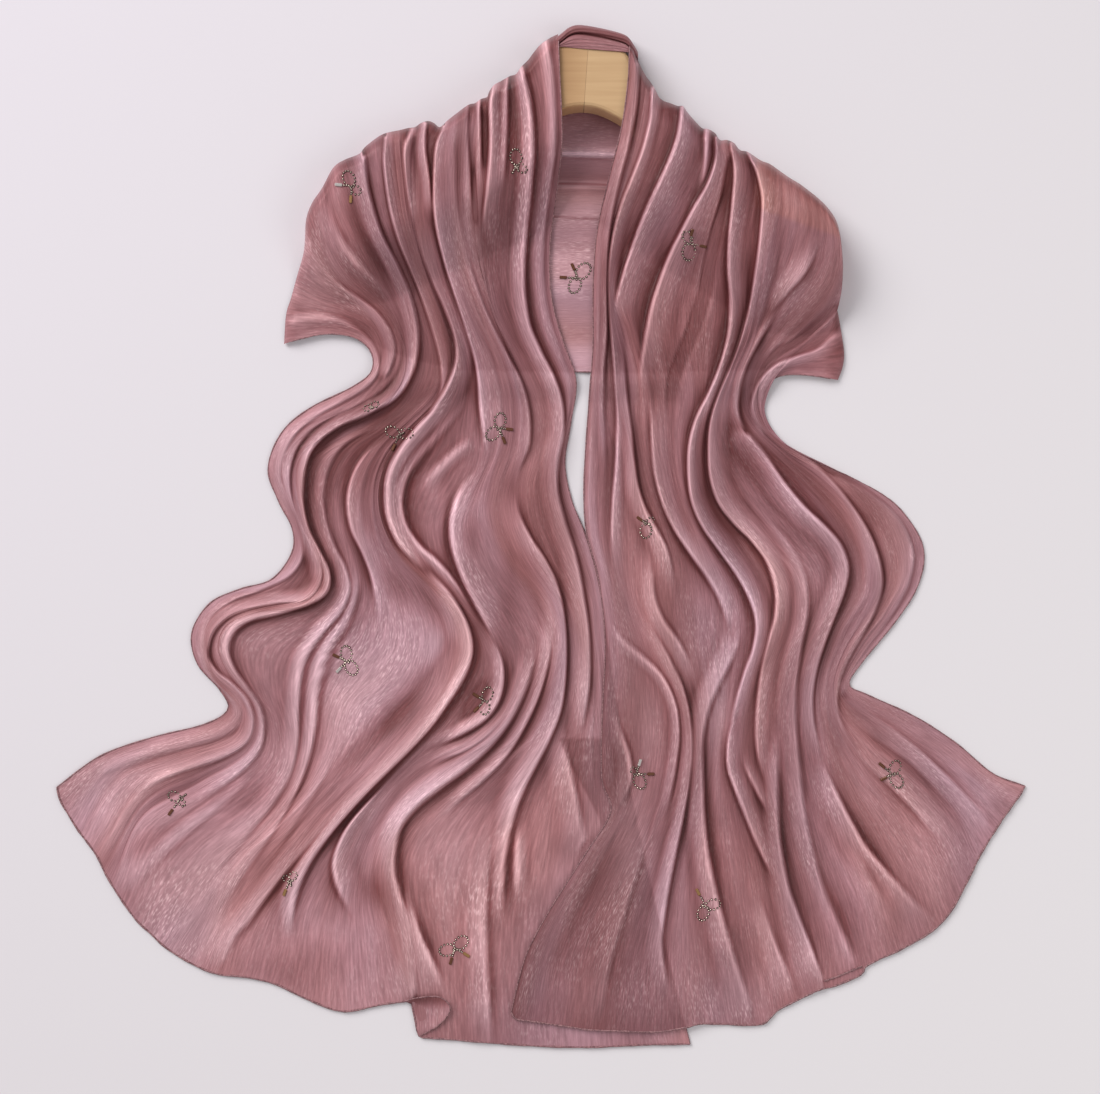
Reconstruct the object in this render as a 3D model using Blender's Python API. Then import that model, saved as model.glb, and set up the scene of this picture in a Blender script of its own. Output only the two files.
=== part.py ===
"""A hijab shawl laid out round a wooden hanger, flat on a surface.

One long rectangle of shimmer cloth goes over the left arm of the hanger, along behind it
and back over the right arm. The two ends lie to the front as long folded panels that
spread at their hems. X runs to the right, Y towards the neck and Z up from the surface.

The routes of the folds are read from straight above, in pixels of the reference view.
place() turns them into metres, with a real size for the pixel and the height of the eye.
"""

import math

import bmesh
import bpy
from mathutils import Vector

MM = 0.001

# Driving sizes
PIXEL = 0.88 * MM
FOOTPRINT_MID = (541.0, 537.36)
EYE_AT = (550.0, 547.0)
EYE_HEIGHT = 1.60
WALL = 1.2 * MM
GAP = 0.35 * MM
HANGER_THICK = 30.0 * MM
HANGER_FLOOR = WALL + GAP
HANGER_TOP = HANGER_FLOOR + HANGER_THICK
ROLL_RADIUS = 10.0 * MM
BACK_ROLL = 9.0 * MM
ARM_REACH = 28.0 * MM
TENT_RUN = 78.0 * MM
TENT_CLEAR = 1.5 * MM
NECK_INSET = 9.0 * MM
NECK_MARGIN = 14.0
SEAM_GAP = 0.6 * MM
PRESSED = 1.2 * MM
SLEEVE_PUFF = 1.6 * MM
TALLEST = 16.0 * MM
STEEPEST = 0.52
FRONT_ROWS = 29
TURN_ROWS = (0.0, 0.16, 0.42)
COLUMNS_PER_FOLD = 4
SKEW_REACH = 0.22
BACK_COLUMNS = 36
BACK_ROWS = 9
BACK_CROWDING = 1.6
NECK_COLUMNS = 10
NECK_SHIFT = -0.4
EASE = 3.0 * MM
EASE_SEGMENTS = 2

# Where one state of the cloth gives way to the next, as a start and an end in pixels:
# the steep wall left and right of the neck, the hem of the back stretch, and the lap of
# the right front over the left one, across and down, with the pressed strip under it
NECK_LEFT = (500.0, 522.0)
NECK_RIGHT = (640.0, 662.0)
BACK_END = (380.0, 404.0)
LAP_ACROSS = (6.0, 34.0)
LAP_DOWN = (480.0, 515.0)
COVER_ACROSS = (-50.0, -20.0)
COVER_DOWN = (470.0, 530.0)

# The hanger, in its own plan, one half of it in pixels from its middle: the centre line of
# its arm, and its upper and lower edges, each as points across and down. Its glued joint
# is a little left of its middle.
HANGER_MID = (588.0, 78.0)
HANGER_TURN = math.radians(4.0)
JOINT_AT = -2.0
ARM_LINE = (
    (0.0, 0.0), (24.0, 7.0), (52.0, 36.0), (104.0, 76.0), (160.0, 106.0), (204.0, 128.0),
    (221.0, 139.0),
)
ARM_UPPER = (
    (0.0, -27.0), (18.0, -26.8), (32.0, -25.8), (38.5, -20.5), (44.0, -10.0), (51.0, 5.0),
    (63.0, 22.0), (84.0, 42.0), (113.0, 62.0), (167.0, 92.0), (211.0, 115.0), (226.0, 128.0),
    (229.0, 142.0),
)
ARM_LOWER = (
    (0.0, 31.7), (12.0, 33.0), (25.0, 37.4), (39.0, 44.5), (52.0, 55.0),
    (66.0, 68.0), (95.0, 90.0), (153.0, 120.0), (197.0, 141.0), (215.0, 148.0),
)
ARM_STEPS = 2

# The long edge at the neck, and where the cloth turns over to the back
BACK_HEM = (
    (289, 337), (312, 331), (338, 328), (362, 335), (392, 352), (450, 367), (520, 371),
    (588, 372), (660, 372), (730, 370), (790, 369), (833, 372),
)
BACK_TURN = (
    (285, 341), (287, 315), (296, 280), (304, 250), (307, 220), (322, 188), (342, 162),
    (370, 144), (400, 131), (439, 126), (468, 106), (494, 86), (520, 69), (545, 54),
    (590, 53), (630, 56), (645, 76), (662, 99), (686, 111), (714, 134), (742, 152),
    (780, 172), (818, 199), (836, 221), (842, 250), (842, 290), (841, 330), (837, 374),
)
NECK_TURN = ((562, 32), (570, 27), (580, 25), (600, 28), (618, 33), (628, 38))
NECK_SECTION = (
    # pixels below the top of the roll, height in mm
    (7.5, 26.5), (4.0, 28.5), (1.2, 26.0), (0.0, 19.0), (0.8, 11.0), (4.0, 5.0), (9.0, 2.4),
    (14.0, 1.3),
)

# Folds of the left front, from its outer edge to its inner edge. Heights are in mm at
# the shoulder, half way and at the hem, and skew moves the trough after the fold.
LEFT_FOLDS = (
    # name, shoulder, middle, hem, skew, route
    ("outer edge", 1.0, 2.5, 1.0, 0.0, (
        (284, 344), (300, 339), (328, 334), (355, 338), (371, 352), (371, 372), (352, 387),
        (310, 408), (282, 432), (268, 468), (278, 500), (292, 528), (292, 552), (272, 579),
        (240, 589), (210, 603), (192, 632), (197, 663), (220, 690), (228, 709), (205, 724),
        (150, 738), (100, 756), (57, 787))),
    ("sleeve fold", 2.0, 7.0, 2.0, 0.3, (
        (297, 276), (320, 290), (346, 302), (368, 318), (381, 338), (384, 358), (377, 380),
        (350, 407), (312, 427), (289, 450), (285, 475), (296, 512), (304, 543), (298, 568),
        (272, 588), (236, 598), (210, 618), (202, 643), (212, 676), (236, 702), (238, 720),
        (214, 738), (160, 754), (110, 778), (79, 831))),
    ("sleeve fold 2", 3.0, 7.0, 2.0, 0.3, (
        (315, 200), (326, 248), (346, 280), (374, 304), (392, 328), (401, 356), (396, 386),
        (372, 410), (334, 432), (304, 452), (296, 478), (303, 518), (314, 548), (317, 574),
        (300, 597), (262, 605), (228, 616), (210, 640), (214, 668), (238, 694), (249, 720),
        (240, 742), (196, 762), (142, 786), (97, 856))),
    ("corner fold", 4.0, 7.0, 2.0, 0.2, (
        (333, 167), (343, 204), (358, 242), (379, 282), (398, 318), (407, 352), (403, 383),
        (382, 411), (343, 434), (311, 455), (302, 481), (309, 522), (320, 552), (322, 579),
        (304, 602), (263, 610), (230, 623), (218, 647), (227, 675), (248, 700), (256, 728),
        (242, 754), (196, 779), (144, 808), (106, 875))),
    ("shoulder fold", 7.0, 10.0, 3.0, 0.2, (
        (352, 158), (364, 190), (372, 222), (388, 262), (405, 300), (413, 340), (412, 378),
        (392, 411), (352, 436), (318, 458), (308, 484), (315, 526), (326, 556), (328, 584),
        (308, 608), (264, 615), (232, 630), (226, 654), (240, 682), (258, 706), (264, 738),
        (244, 766), (196, 796), (146, 830), (117, 894))),
    ("side fold", 6.0, 9.0, 3.0, 0.1, (
        (380, 137), (382, 170), (390, 215), (408, 268), (424, 314), (434, 352), (428, 390),
        (400, 420), (368, 448), (348, 482), (345, 520), (354, 560), (356, 596), (338, 632),
        (312, 662), (301, 700), (302, 744), (290, 784), (256, 828), (212, 868), (163, 945))),
    ("side fold 2", 5.0, 7.0, 4.0, 0.0, (
        (391, 134), (394, 170), (402, 222), (418, 276), (436, 320), (446, 360), (438, 394),
        (412, 422), (386, 448), (371, 480), (369, 520), (380, 560), (394, 596), (400, 640),
        (384, 676), (356, 706), (342, 742), (322, 780), (284, 824), (240, 868), (192, 963))),
    ("crossing fold", 4.0, 8.0, 6.0, 0.4, (
        (401, 131), (404, 168), (410, 222), (425, 272), (441, 316), (451, 356), (446, 390),
        (422, 420), (396, 446), (380, 480), (380, 516), (396, 554), (424, 586), (444, 620),
        (446, 652), (436, 690), (406, 728), (374, 766), (330, 812), (284, 872), (236, 936),
        (220, 975))),
    ("long fold", 8.0, 13.0, 6.0, 0.3, (
        (420, 125), (415, 160), (416, 215), (424, 266), (442, 312), (457, 358), (450, 392),
        (422, 424), (396, 456), (386, 492), (394, 534), (420, 572), (456, 604), (472, 646),
        (458, 680), (434, 722), (402, 762), (362, 806), (322, 856), (294, 906), (284, 950),
        (275, 984))),
    ("band edge", 9.0, 11.0, 5.0, -0.2, (
        (440, 127), (431, 152), (431, 210), (442, 266), (458, 318), (472, 368), (476, 420),
        (476, 462), (456, 502), (446, 534), (458, 582), (488, 628), (504, 668), (496, 708),
        (464, 740), (422, 764), (388, 796), (362, 838), (346, 890), (338, 950), (338, 1010))),
    ("band", 8.0, 9.0, 5.0, 0.1, (
        (452, 117), (446, 156), (446, 212), (454, 264), (470, 312), (490, 360), (500, 404),
        (500, 444), (486, 486), (482, 520), (498, 566), (528, 612), (540, 646), (526, 688),
        (500, 734), (448, 772), (408, 808), (384, 846), (378, 892), (388, 946), (404, 1002))),
    ("pleat edge", 5.0, 7.0, 9.0, 0.8, (
        (462, 110), (458, 156), (458, 212), (466, 264), (482, 312), (504, 362), (515, 404),
        (514, 446), (502, 486), (500, 520), (516, 562), (546, 606), (556, 646), (546, 692),
        (524, 738), (474, 778), (428, 816), (404, 852), (402, 892), (410, 950), (420, 1037))),
    ("centre fold", 5.0, 8.0, 5.0, 0.0, (
        (475, 104), (471, 156), (470, 212), (478, 264), (494, 312), (514, 362), (526, 408),
        (526, 450), (515, 486), (518, 520), (534, 560), (560, 602), (566, 650), (560, 706),
        (540, 756), (512, 804), (494, 850), (484, 900), (480, 960), (480, 1042))),
    ("neck fold", 10.0, 10.0, 5.0, 0.0, (
        (496, 84), (491, 130), (487, 190), (484, 250), (494, 310), (520, 362), (538, 406),
        (542, 448), (534, 486), (538, 524), (554, 564), (574, 608), (582, 660), (580, 720),
        (570, 780), (562, 840), (556, 900), (554, 970), (556, 1046))),
    ("inner fold", 9.0, 8.0, 3.0, 0.0, (
        (521, 69), (531, 110), (532, 160), (527, 220), (524, 280), (536, 334), (556, 380),
        (562, 420), (554, 460), (556, 496), (572, 540), (590, 590), (598, 650), (604, 720),
        (608, 790), (614, 860), (620, 930), (626, 990), (630, 1045))),
    ("inner edge", 3.0, 2.0, 1.0, 0.0, (
        (558, 35), (560, 80), (562, 140), (557, 190), (550, 245), (551, 295), (562, 338),
        (576, 380), (571, 422), (565, 462), (571, 498), (585, 534), (598, 580), (608, 640),
        (618, 710), (630, 780), (644, 850), (660, 920), (676, 985), (690, 1044))),
)

# Folds of the right front, from its inner edge to its outer edge
RIGHT_FOLDS = (
    # name, shoulder, middle, hem, skew, route
    ("inner edge", 3.0, 3.0, 3.0, 0.0, (
        (630, 39), (628, 80), (622, 125), (608, 182), (597, 232), (593, 286), (593, 345),
        (589, 400), (584, 480), (586, 530), (598, 576), (605, 640), (602, 720), (602, 780),
        (611, 811), (584, 856), (548, 913), (525, 958), (511, 1012))),
    ("collar fold", 7.0, 6.0, 5.0, 0.0, (
        (640, 66), (637, 110), (629, 160), (612, 218), (604, 262), (604, 312), (603, 360),
        (603, 410), (608, 460), (606, 510), (610, 556), (620, 600), (632, 650), (634, 710),
        (632, 768), (624, 812), (600, 860), (574, 914), (556, 962), (546, 1022))),
    ("collar fold 2", 8.0, 9.0, 4.0, 0.1, (
        (655, 90), (647, 132), (632, 176), (616, 222), (609, 264), (611, 312), (619, 356),
        (622, 404), (630, 452), (632, 504), (636, 552), (640, 600), (656, 650), (672, 696),
        (676, 744), (666, 804), (642, 866), (622, 916), (608, 966), (598, 1030))),
    ("bright fold", 9.0, 11.0, 4.0, 0.2, (
        (681, 107), (678, 138), (656, 190), (632, 240), (616, 290), (628, 336), (637, 376),
        (638, 424), (646, 476), (658, 516), (668, 556), (670, 606), (678, 660), (690, 712),
        (694, 764), (686, 820), (672, 880), (662, 934), (656, 984), (652, 1031))),
    ("chest fold", 11.0, 8.0, 4.0, 0.3, (
        (714, 134), (708, 172), (686, 220), (662, 264), (646, 312), (652, 356), (660, 400),
        (664, 446), (674, 494), (690, 540), (702, 586), (706, 636), (712, 688), (714, 742),
        (706, 800), (698, 860), (700, 920), (706, 972), (714, 1025))),
    ("slot fold", 10.0, 10.0, 5.0, 0.0, (
        (724, 142), (728, 172), (716, 212), (702, 254), (692, 304), (692, 350), (696, 396),
        (688, 442), (692, 496), (712, 540), (738, 584), (746, 632), (738, 690), (728, 748),
        (732, 802), (742, 856), (750, 912), (758, 964), (768, 1019))),
    ("side fold", 11.0, 12.0, 5.0, 0.2, (
        (742, 152), (746, 180), (736, 226), (730, 274), (732, 318), (720, 366), (706, 416),
        (704, 460), (718, 504), (748, 546), (772, 588), (774, 632), (760, 680), (752, 734),
        (758, 790), (770, 846), (782, 898), (794, 948), (808, 995))),
    ("side fold 2", 8.0, 9.0, 5.0, 0.1, (
        (762, 161), (764, 196), (757, 240), (752, 286), (746, 332), (730, 374), (719, 416),
        (724, 458), (744, 500), (776, 542), (802, 578), (804, 620), (788, 666), (780, 722),
        (786, 782), (798, 838), (812, 894), (822, 940), (824, 988))),
    ("hip fold", 7.0, 13.0, 5.0, 0.0, (
        (786, 175), (788, 210), (778, 256), (765, 300), (752, 342), (737, 378), (736, 410),
        (758, 444), (788, 478), (820, 516), (845, 556), (848, 592), (828, 632), (813, 680),
        (814, 732), (826, 788), (846, 846), (866, 892), (884, 957))),
    ("hip fold 2", 5.0, 8.0, 4.0, 0.0, (
        (812, 194), (818, 228), (808, 266), (786, 298), (766, 330), (750, 362), (744, 394),
        (754, 424), (784, 454), (818, 482), (848, 516), (864, 556), (864, 594), (844, 634),
        (827, 682), (832, 728), (856, 778), (888, 826), (914, 874), (934, 929))),
    ("outer fold", 4.0, 10.0, 3.0, 0.0, (
        (834, 216), (840, 252), (830, 288), (804, 318), (778, 344), (760, 370), (753, 396),
        (760, 424), (786, 449), (822, 470), (852, 498), (874, 536), (884, 574), (876, 606),
        (850, 646), (836, 682), (842, 712), (872, 748), (914, 788), (948, 828), (969, 874))),
    ("outer fold 2", 2.5, 6.0, 2.0, 0.0, (
        (842, 278), (836, 312), (812, 336), (788, 354), (768, 373), (758, 396), (763, 424),
        (786, 445), (824, 464), (858, 484), (888, 514), (902, 548), (903, 580), (886, 614),
        (860, 650), (843, 684), (852, 702), (890, 727), (934, 757), (972, 792), (1001, 824))),
    ("outer edge", 1.0, 2.5, 1.0, 0.0, (
        (838, 380), (814, 376), (785, 375), (768, 384), (762, 404), (765, 430), (788, 449),
        (828, 467), (860, 482), (894, 503), (918, 534), (924, 560), (915, 592), (892, 626),
        (864, 660), (849, 684), (868, 695), (914, 716), (956, 743), (992, 773), (1025, 786))),
)

HEIGHT_COLUMNS = {"shoulder": 1, "middle": 2, "hem": 3}
SKEW_COLUMN = 4
ROUTE_COLUMN = 5

FINISHES = {
    # colour, roughness
    "left_front": ((0.42, 0.19, 0.21), 0.45),
    "right_front": ((0.44, 0.20, 0.22), 0.45),
    "back_stretch": ((0.48, 0.25, 0.28), 0.50),
    "neck_roll": ((0.46, 0.22, 0.25), 0.48),
    "wood": ((0.62, 0.42, 0.24), 0.40),
}


def smooth(low, high, value):
    """A soft step from 0 at low to 1 at high."""
    part = min(max((value - low) / (high - low), 0.0), 1.0)
    return part * part * (3.0 - 2.0 * part)


def quarter(part):
    """The height of a quarter circle, from 0 to 1."""
    part = min(max(part, 0.0), 1.0)
    return math.sqrt(1.0 - (1.0 - part) ** 2)


def place(point, height):
    """A pixel of the view and a height, as a place in metres."""
    shrink = 1.0 - height / EYE_HEIGHT
    x = EYE_AT[0] + (point[0] - EYE_AT[0]) * shrink
    y = EYE_AT[1] + (point[1] - EYE_AT[1]) * shrink
    return Vector(((x - FOOTPRINT_MID[0]) * PIXEL, (FOOTPRINT_MID[1] - y) * PIXEL, height))


def curve_through(points, steps=6):
    """A smooth line through the points, as closely spaced points."""
    knots = [Vector(point) for point in points]
    knots = [2 * knots[0] - knots[1]] + knots + [2 * knots[-1] - knots[-2]]
    line = []
    for before, start, end, after in zip(knots, knots[1:], knots[2:], knots[3:]):
        for step in range(steps):
            t = step / steps
            line.append(0.5 * (2 * start + (end - before) * t
                               + (2 * before - 5 * start + 4 * end - after) * t ** 2
                               + (3 * start - before - 3 * end + after) * t ** 3))
    line.append(knots[-2])
    return line


class Route:
    """A smooth line with even steps along its length, in pixels."""

    def __init__(self, points):
        self.line = curve_through(points)
        self.marks = [0.0]
        for start, end in zip(self.line, self.line[1:]):
            self.marks.append(self.marks[-1] + (end - start).length)
        self.length = self.marks[-1]

    def at(self, part):
        """The point a part of the way along."""
        aim = min(max(part, 0.0), 1.0) * self.length
        low, high = 0, len(self.marks) - 1
        while high - low > 1:
            middle = (low + high) // 2
            if self.marks[middle] <= aim:
                low = middle
            else:
                high = middle
        share = (aim - self.marks[low]) / (self.marks[high] - self.marks[low])
        return self.line[low].lerp(self.line[high], share)

    def across_at(self, down):
        """How far across the line is where it passes a level."""
        for start, end in zip(self.line, self.line[1:]):
            if start[1] <= down <= end[1] and end[1] > start[1]:
                return start.lerp(end, (down - start[1]) / (end[1] - start[1]))[0]
        return self.line[0][0] if down < self.line[0][1] else self.line[-1][0]


def hanger_point(across, down):
    """A point of the hanger's own plan, in pixels of the view."""
    turn_cos, turn_sin = math.cos(HANGER_TURN), math.sin(HANGER_TURN)
    return (HANGER_MID[0] + across * turn_cos - down * turn_sin,
            HANGER_MID[1] + across * turn_sin + down * turn_cos)


def arm_distance(point):
    """How far a point lies from the centre line of the hanger, in metres."""
    spot = Vector(point)
    nearest = math.inf
    for side in (-1, 1):
        line = [Vector(hanger_point(side * row[0], row[1])) for row in ARM_LINE]
        for start, end in zip(line, line[1:]):
            run = end - start
            share = min(max((spot - start).dot(run) / run.length_squared, 0.0), 1.0)
            nearest = min(nearest, (spot - start - run * share).length)
    return nearest * PIXEL


LEFT_INNER = Route(LEFT_FOLDS[-1][ROUTE_COLUMN])
RIGHT_INNER = Route(RIGHT_FOLDS[0][ROUTE_COLUMN])
BACK_EDGE = Route(BACK_HEM)


def tent(point):
    """The lift of the cloth where it lies over the hanger and falls away from it."""
    fall = smooth(ARM_REACH, ARM_REACH + TENT_RUN, arm_distance(point))
    return (HANGER_TOP + TENT_CLEAR) * (1.0 - fall)


def near_neck(point, wider):
    """One at the neck of the hanger, where the turn is a steep wall."""
    return (smooth(NECK_LEFT[0] - wider, NECK_LEFT[1] - wider, point[0])
            * (1.0 - smooth(NECK_RIGHT[0] + wider, NECK_RIGHT[1] + wider, point[0])))


def seam(point, wider=0.0):
    """The level where a front meets the back stretch at its turn, low at the neck."""
    middle = 0.5 * max(tent(point), WALL + GAP + SLEEVE_PUFF)
    return middle + (WALL + GAP - middle) * near_neck(point, wider)


def on_back(point):
    """One where a front lies on the back stretch, and nought past its hem."""
    return 1.0 - smooth(*BACK_END, point[1])


def left_rest(point):
    """The level of what lies under the left front."""
    return (WALL + GAP) * on_back(point)


def right_rest(point):
    """The level of what lies under the right front, the left front among it."""
    inside = point[0] - LEFT_INNER.across_at(point[1])
    lap = (1.0 - smooth(*LAP_ACROSS, inside)) * smooth(*LAP_DOWN, point[1])
    return max((WALL + GAP) * on_back(point), (WALL + PRESSED + GAP) * lap)


def left_limit(point):
    """The most that a fold of the left front stands up where the right front covers it."""
    covered = point[0] - RIGHT_INNER.across_at(point[1])
    pressed = smooth(*COVER_ACROSS, covered) * smooth(*COVER_DOWN, point[1])
    return TALLEST + (PRESSED - TALLEST) * pressed


def right_limit(_point):
    """The most that a fold of the right front stands up, the same everywhere."""
    return TALLEST


def fold_height(row, part):
    """The height of a fold a part of the way down, in metres."""
    shoulder, middle, hem = (row[HEIGHT_COLUMNS[name]] for name in HEIGHT_COLUMNS)
    if part < 0.5:
        return (shoulder + (middle - shoulder) * smooth(0.0, 0.5, part)) * MM
    return (middle + (hem - middle) * smooth(0.5, 1.0, part)) * MM


def front_surface(folds, rest, limit):
    """The outer face of a front, row by row from the turn at the shoulder to the hem,
    with the least level of the face below it."""
    routes = [Route(row[ROUTE_COLUMN]) for row in folds]
    rows, floors = [], []
    for step in range(FRONT_ROWS + 1):
        part = TURN_ROWS[step] if step < len(TURN_ROWS) else step - len(TURN_ROWS) + 1
        part = part / (FRONT_ROWS - len(TURN_ROWS) + 1)
        crests = [route.at(part) for route in routes]
        spans = [(b - a).length * PIXEL for a, b in zip(crests, crests[1:])]
        heights = []
        for index, row in enumerate(folds):
            near = min(spans[max(index - 1, 0)], spans[min(index, len(spans) - 1)])
            heights.append(min(fold_height(row, part), STEEPEST * near))
        points, levels = [], []
        for index in range(len(folds) - 1):
            trough = 0.5 + SKEW_REACH * folds[index][SKEW_COLUMN]
            run = part * (routes[index].length + routes[index + 1].length) / 2 * PIXEL
            rise = quarter(run / ROLL_RADIUS)
            last = index == len(folds) - 2
            for column in range(COLUMNS_PER_FOLD + (1 if last else 0)):
                share = column / COLUMNS_PER_FOLD
                across = share * 2 * trough if share < 0.5 else 1 - (1 - share) * 2 * (1 - trough)
                spot = crests[index].lerp(crests[index + 1], across)
                crest = heights[index] if share < 0.5 else heights[index + 1]
                wave = min(crest * 0.5 * (1.0 + math.cos(2 * math.pi * share)), limit(spot))
                floor = rest(spot)
                base = max(tent(spot), floor + SLEEVE_PUFF * on_back(spot))
                low = seam(spot) + SEAM_GAP
                height = low + (base + WALL + wave - low) * rise
                points.append(place(spot, height))
                levels.append(floor if step else low)
        rows.append(points)
        floors.append(levels)
    return rows, floors


def surface_normals(rows):
    """The direction out of the face at each point of a grid of points."""
    normals = []
    for i, row in enumerate(rows):
        line = []
        for j in range(len(row)):
            down = rows[min(i + 1, len(rows) - 1)][j] - rows[max(i - 1, 0)][j]
            side = row[min(j + 1, len(row) - 1)] - row[max(j - 1, 0)]
            line.append(side.cross(down).normalized())
        normals.append(line)
    return normals


def wall_mesh(name, rows, floors=None):
    """A closed cloth wall under a grid of outer points, flat where it meets what it lies on.
    The first row is the turn, where the wall stands upright."""
    normals = surface_normals(rows)
    flip = 1.0 if normals[len(rows) // 2][len(rows[0]) // 2].z > 0 else -1.0
    mesh_builder = bmesh.new()
    outer, inner = [], []
    for i, row in enumerate(rows):
        outer.append([mesh_builder.verts.new(point) for point in row])
        under = []
        for j, point in enumerate(row):
            out = normals[i][j] * flip
            if i == 0:
                out = Vector((out.x, out.y, 0.0)).normalized()
            spot = point - out * WALL
            spot.z = max(spot.z, floors[i][j] if floors else 0.0)
            under.append(mesh_builder.verts.new(spot))
        inner.append(under)
    last_row, last_column = len(rows) - 1, len(rows[0]) - 1
    for i in range(last_row):
        for j in range(last_column):
            mesh_builder.faces.new((outer[i][j], outer[i][j + 1],
                                    outer[i + 1][j + 1], outer[i + 1][j]))
            mesh_builder.faces.new((inner[i][j], inner[i + 1][j],
                                    inner[i + 1][j + 1], inner[i][j + 1]))
    for j in range(last_column):
        for i in (0, last_row):
            mesh_builder.faces.new((outer[i][j], outer[i][j + 1], inner[i][j + 1], inner[i][j]))
    for i in range(last_row):
        for j in (0, last_column):
            mesh_builder.faces.new((outer[i][j], outer[i + 1][j], inner[i + 1][j], inner[i][j]))
    bmesh.ops.recalc_face_normals(mesh_builder, faces=mesh_builder.faces)
    bmesh.ops.triangulate(mesh_builder, faces=mesh_builder.faces)
    mesh = bpy.data.meshes.new(name)
    mesh_builder.to_mesh(mesh)
    mesh_builder.free()
    return mesh


def finish_material(name):
    colour, roughness = FINISHES[name]
    material = bpy.data.materials.new(name)
    material.use_nodes = True
    shader = material.node_tree.nodes["Principled BSDF"]
    shader.inputs["Base Color"].default_value = (*colour, 1.0)
    shader.inputs["Roughness"].default_value = roughness
    shader.inputs["Metallic"].default_value = 0.0
    return material


def add_object(name, mesh, material, collection):
    piece = bpy.data.objects.new(name, mesh)
    piece.data.materials.append(material)
    collection.objects.link(piece)
    return piece


def back_surface():
    """The stretch behind the hanger: flat on the surface, rolled up at its turn."""
    turn = Route(BACK_TURN)
    rows = []
    for step in range(BACK_ROWS + 1):
        part = (step / BACK_ROWS) ** BACK_CROWDING
        points = []
        for column in range(BACK_COLUMNS + 1):
            share = column / BACK_COLUMNS
            top = turn.at(share)
            hem = BACK_EDGE.at(share)
            inset = (WALL + NECK_INSET * near_neck(top, NECK_MARGIN)) / PIXEL / (hem - top).length
            spot = top.lerp(hem, inset + (1.0 - inset) * part)
            run = part * (hem - top).length * PIXEL
            edge = seam(top, NECK_MARGIN) - SEAM_GAP
            drop = 1.0 - quarter(run / BACK_ROLL)
            points.append(place(spot, WALL + (edge - WALL) * drop))
        rows.append(points)
    return rows


def neck_surface():
    """The roll of cloth behind the neck of the hanger."""
    turn = Route(NECK_TURN)
    rows = []
    for below, height in NECK_SECTION:
        points = []
        for column in range(NECK_COLUMNS + 1):
            top = turn.at(column / NECK_COLUMNS)
            points.append(place((top[0] + NECK_SHIFT, top[1] + below), height * MM))
        rows.append(points)
    return rows


def hanger_outline(side):
    """The plan of one half of the hanger, as pixels round its edge, up to the joint. Its
    edges start level at the middle, as the other half mirrors them."""
    joint = GAP / 2 / PIXEL + side * JOINT_AT
    ring = []
    for edge, order in ((ARM_UPPER, 1), (ARM_LOWER, -1)):
        mirrored = (-edge[1][0], edge[1][1])
        line = curve_through([mirrored, *edge], ARM_STEPS)[ARM_STEPS:]
        line[0] = Vector((joint, line[0][1]))
        ring += line[::order]
    return [hanger_point(side * point[0], point[1]) for point in ring]


def hanger_half(name, side, material, collection):
    """One wooden half: its plan raised to the hanger's thickness, with the edges of its two
    faces eased, but not at the joint."""
    ring = [place(point, HANGER_FLOOR + HANGER_THICK / 2) for point in hanger_outline(side)]
    solid = bmesh.new()
    under = [solid.verts.new((spot.x, spot.y, HANGER_FLOOR)) for spot in ring]
    over = [solid.verts.new((spot.x, spot.y, HANGER_TOP)) for spot in ring]
    solid.faces.new(under)
    solid.faces.new(over)
    for index in range(len(ring)):
        solid.faces.new((under[index - 1], under[index], over[index], over[index - 1]))
    bmesh.ops.recalc_face_normals(solid, faces=solid.faces)
    joint = {under[0], under[-1], over[0], over[-1]}
    rims = [edge for edge in solid.edges
            if edge.verts[0].co.z == edge.verts[1].co.z and not joint.issuperset(edge.verts)]
    bmesh.ops.bevel(solid, geom=rims, offset=EASE, segments=EASE_SEGMENTS, profile=0.5,
                    affect="EDGES")
    bmesh.ops.triangulate(solid, faces=solid.faces)
    mesh = bpy.data.meshes.new(name)
    solid.to_mesh(mesh)
    solid.free()
    return add_object(name, mesh, material, collection)


def build():
    for existing in list(bpy.data.objects):
        bpy.data.objects.remove(existing)
    collection = bpy.data.collections.new("hijab")
    bpy.context.scene.collection.children.link(collection)
    materials = {name: finish_material(name) for name in FINISHES}
    left = front_surface(LEFT_FOLDS, left_rest, left_limit)
    right = front_surface(RIGHT_FOLDS, right_rest, right_limit)
    for name, rows, floors in (("left_front", *left), ("right_front", *right),
                               ("back_stretch", back_surface(), None),
                               ("neck_roll", neck_surface(), None)):
        add_object(name, wall_mesh(name, rows, floors), materials[name], collection)
    hanger_half("hanger_left", -1, materials["wood"], collection)
    hanger_half("hanger_right", 1, materials["wood"], collection)


build()
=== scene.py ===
"""The looks of a hijab shawl laid flat round a wooden hanger.

The shawl is shimmer cloth in dusty rose: a long rectangle that goes over the left arm of
the hanger, along behind it and back over the right arm. Its two ends lie to the front in
long soft folds that spread at the hems. Small bows of stones are set over it.

Routes are read from straight above, in pixels of the reference view. place() turns them
into metres with the real size of a pixel and the height of the eye.
"""

import math

import bmesh
import bpy
import numpy as np
from mathutils import Matrix, Vector


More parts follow.
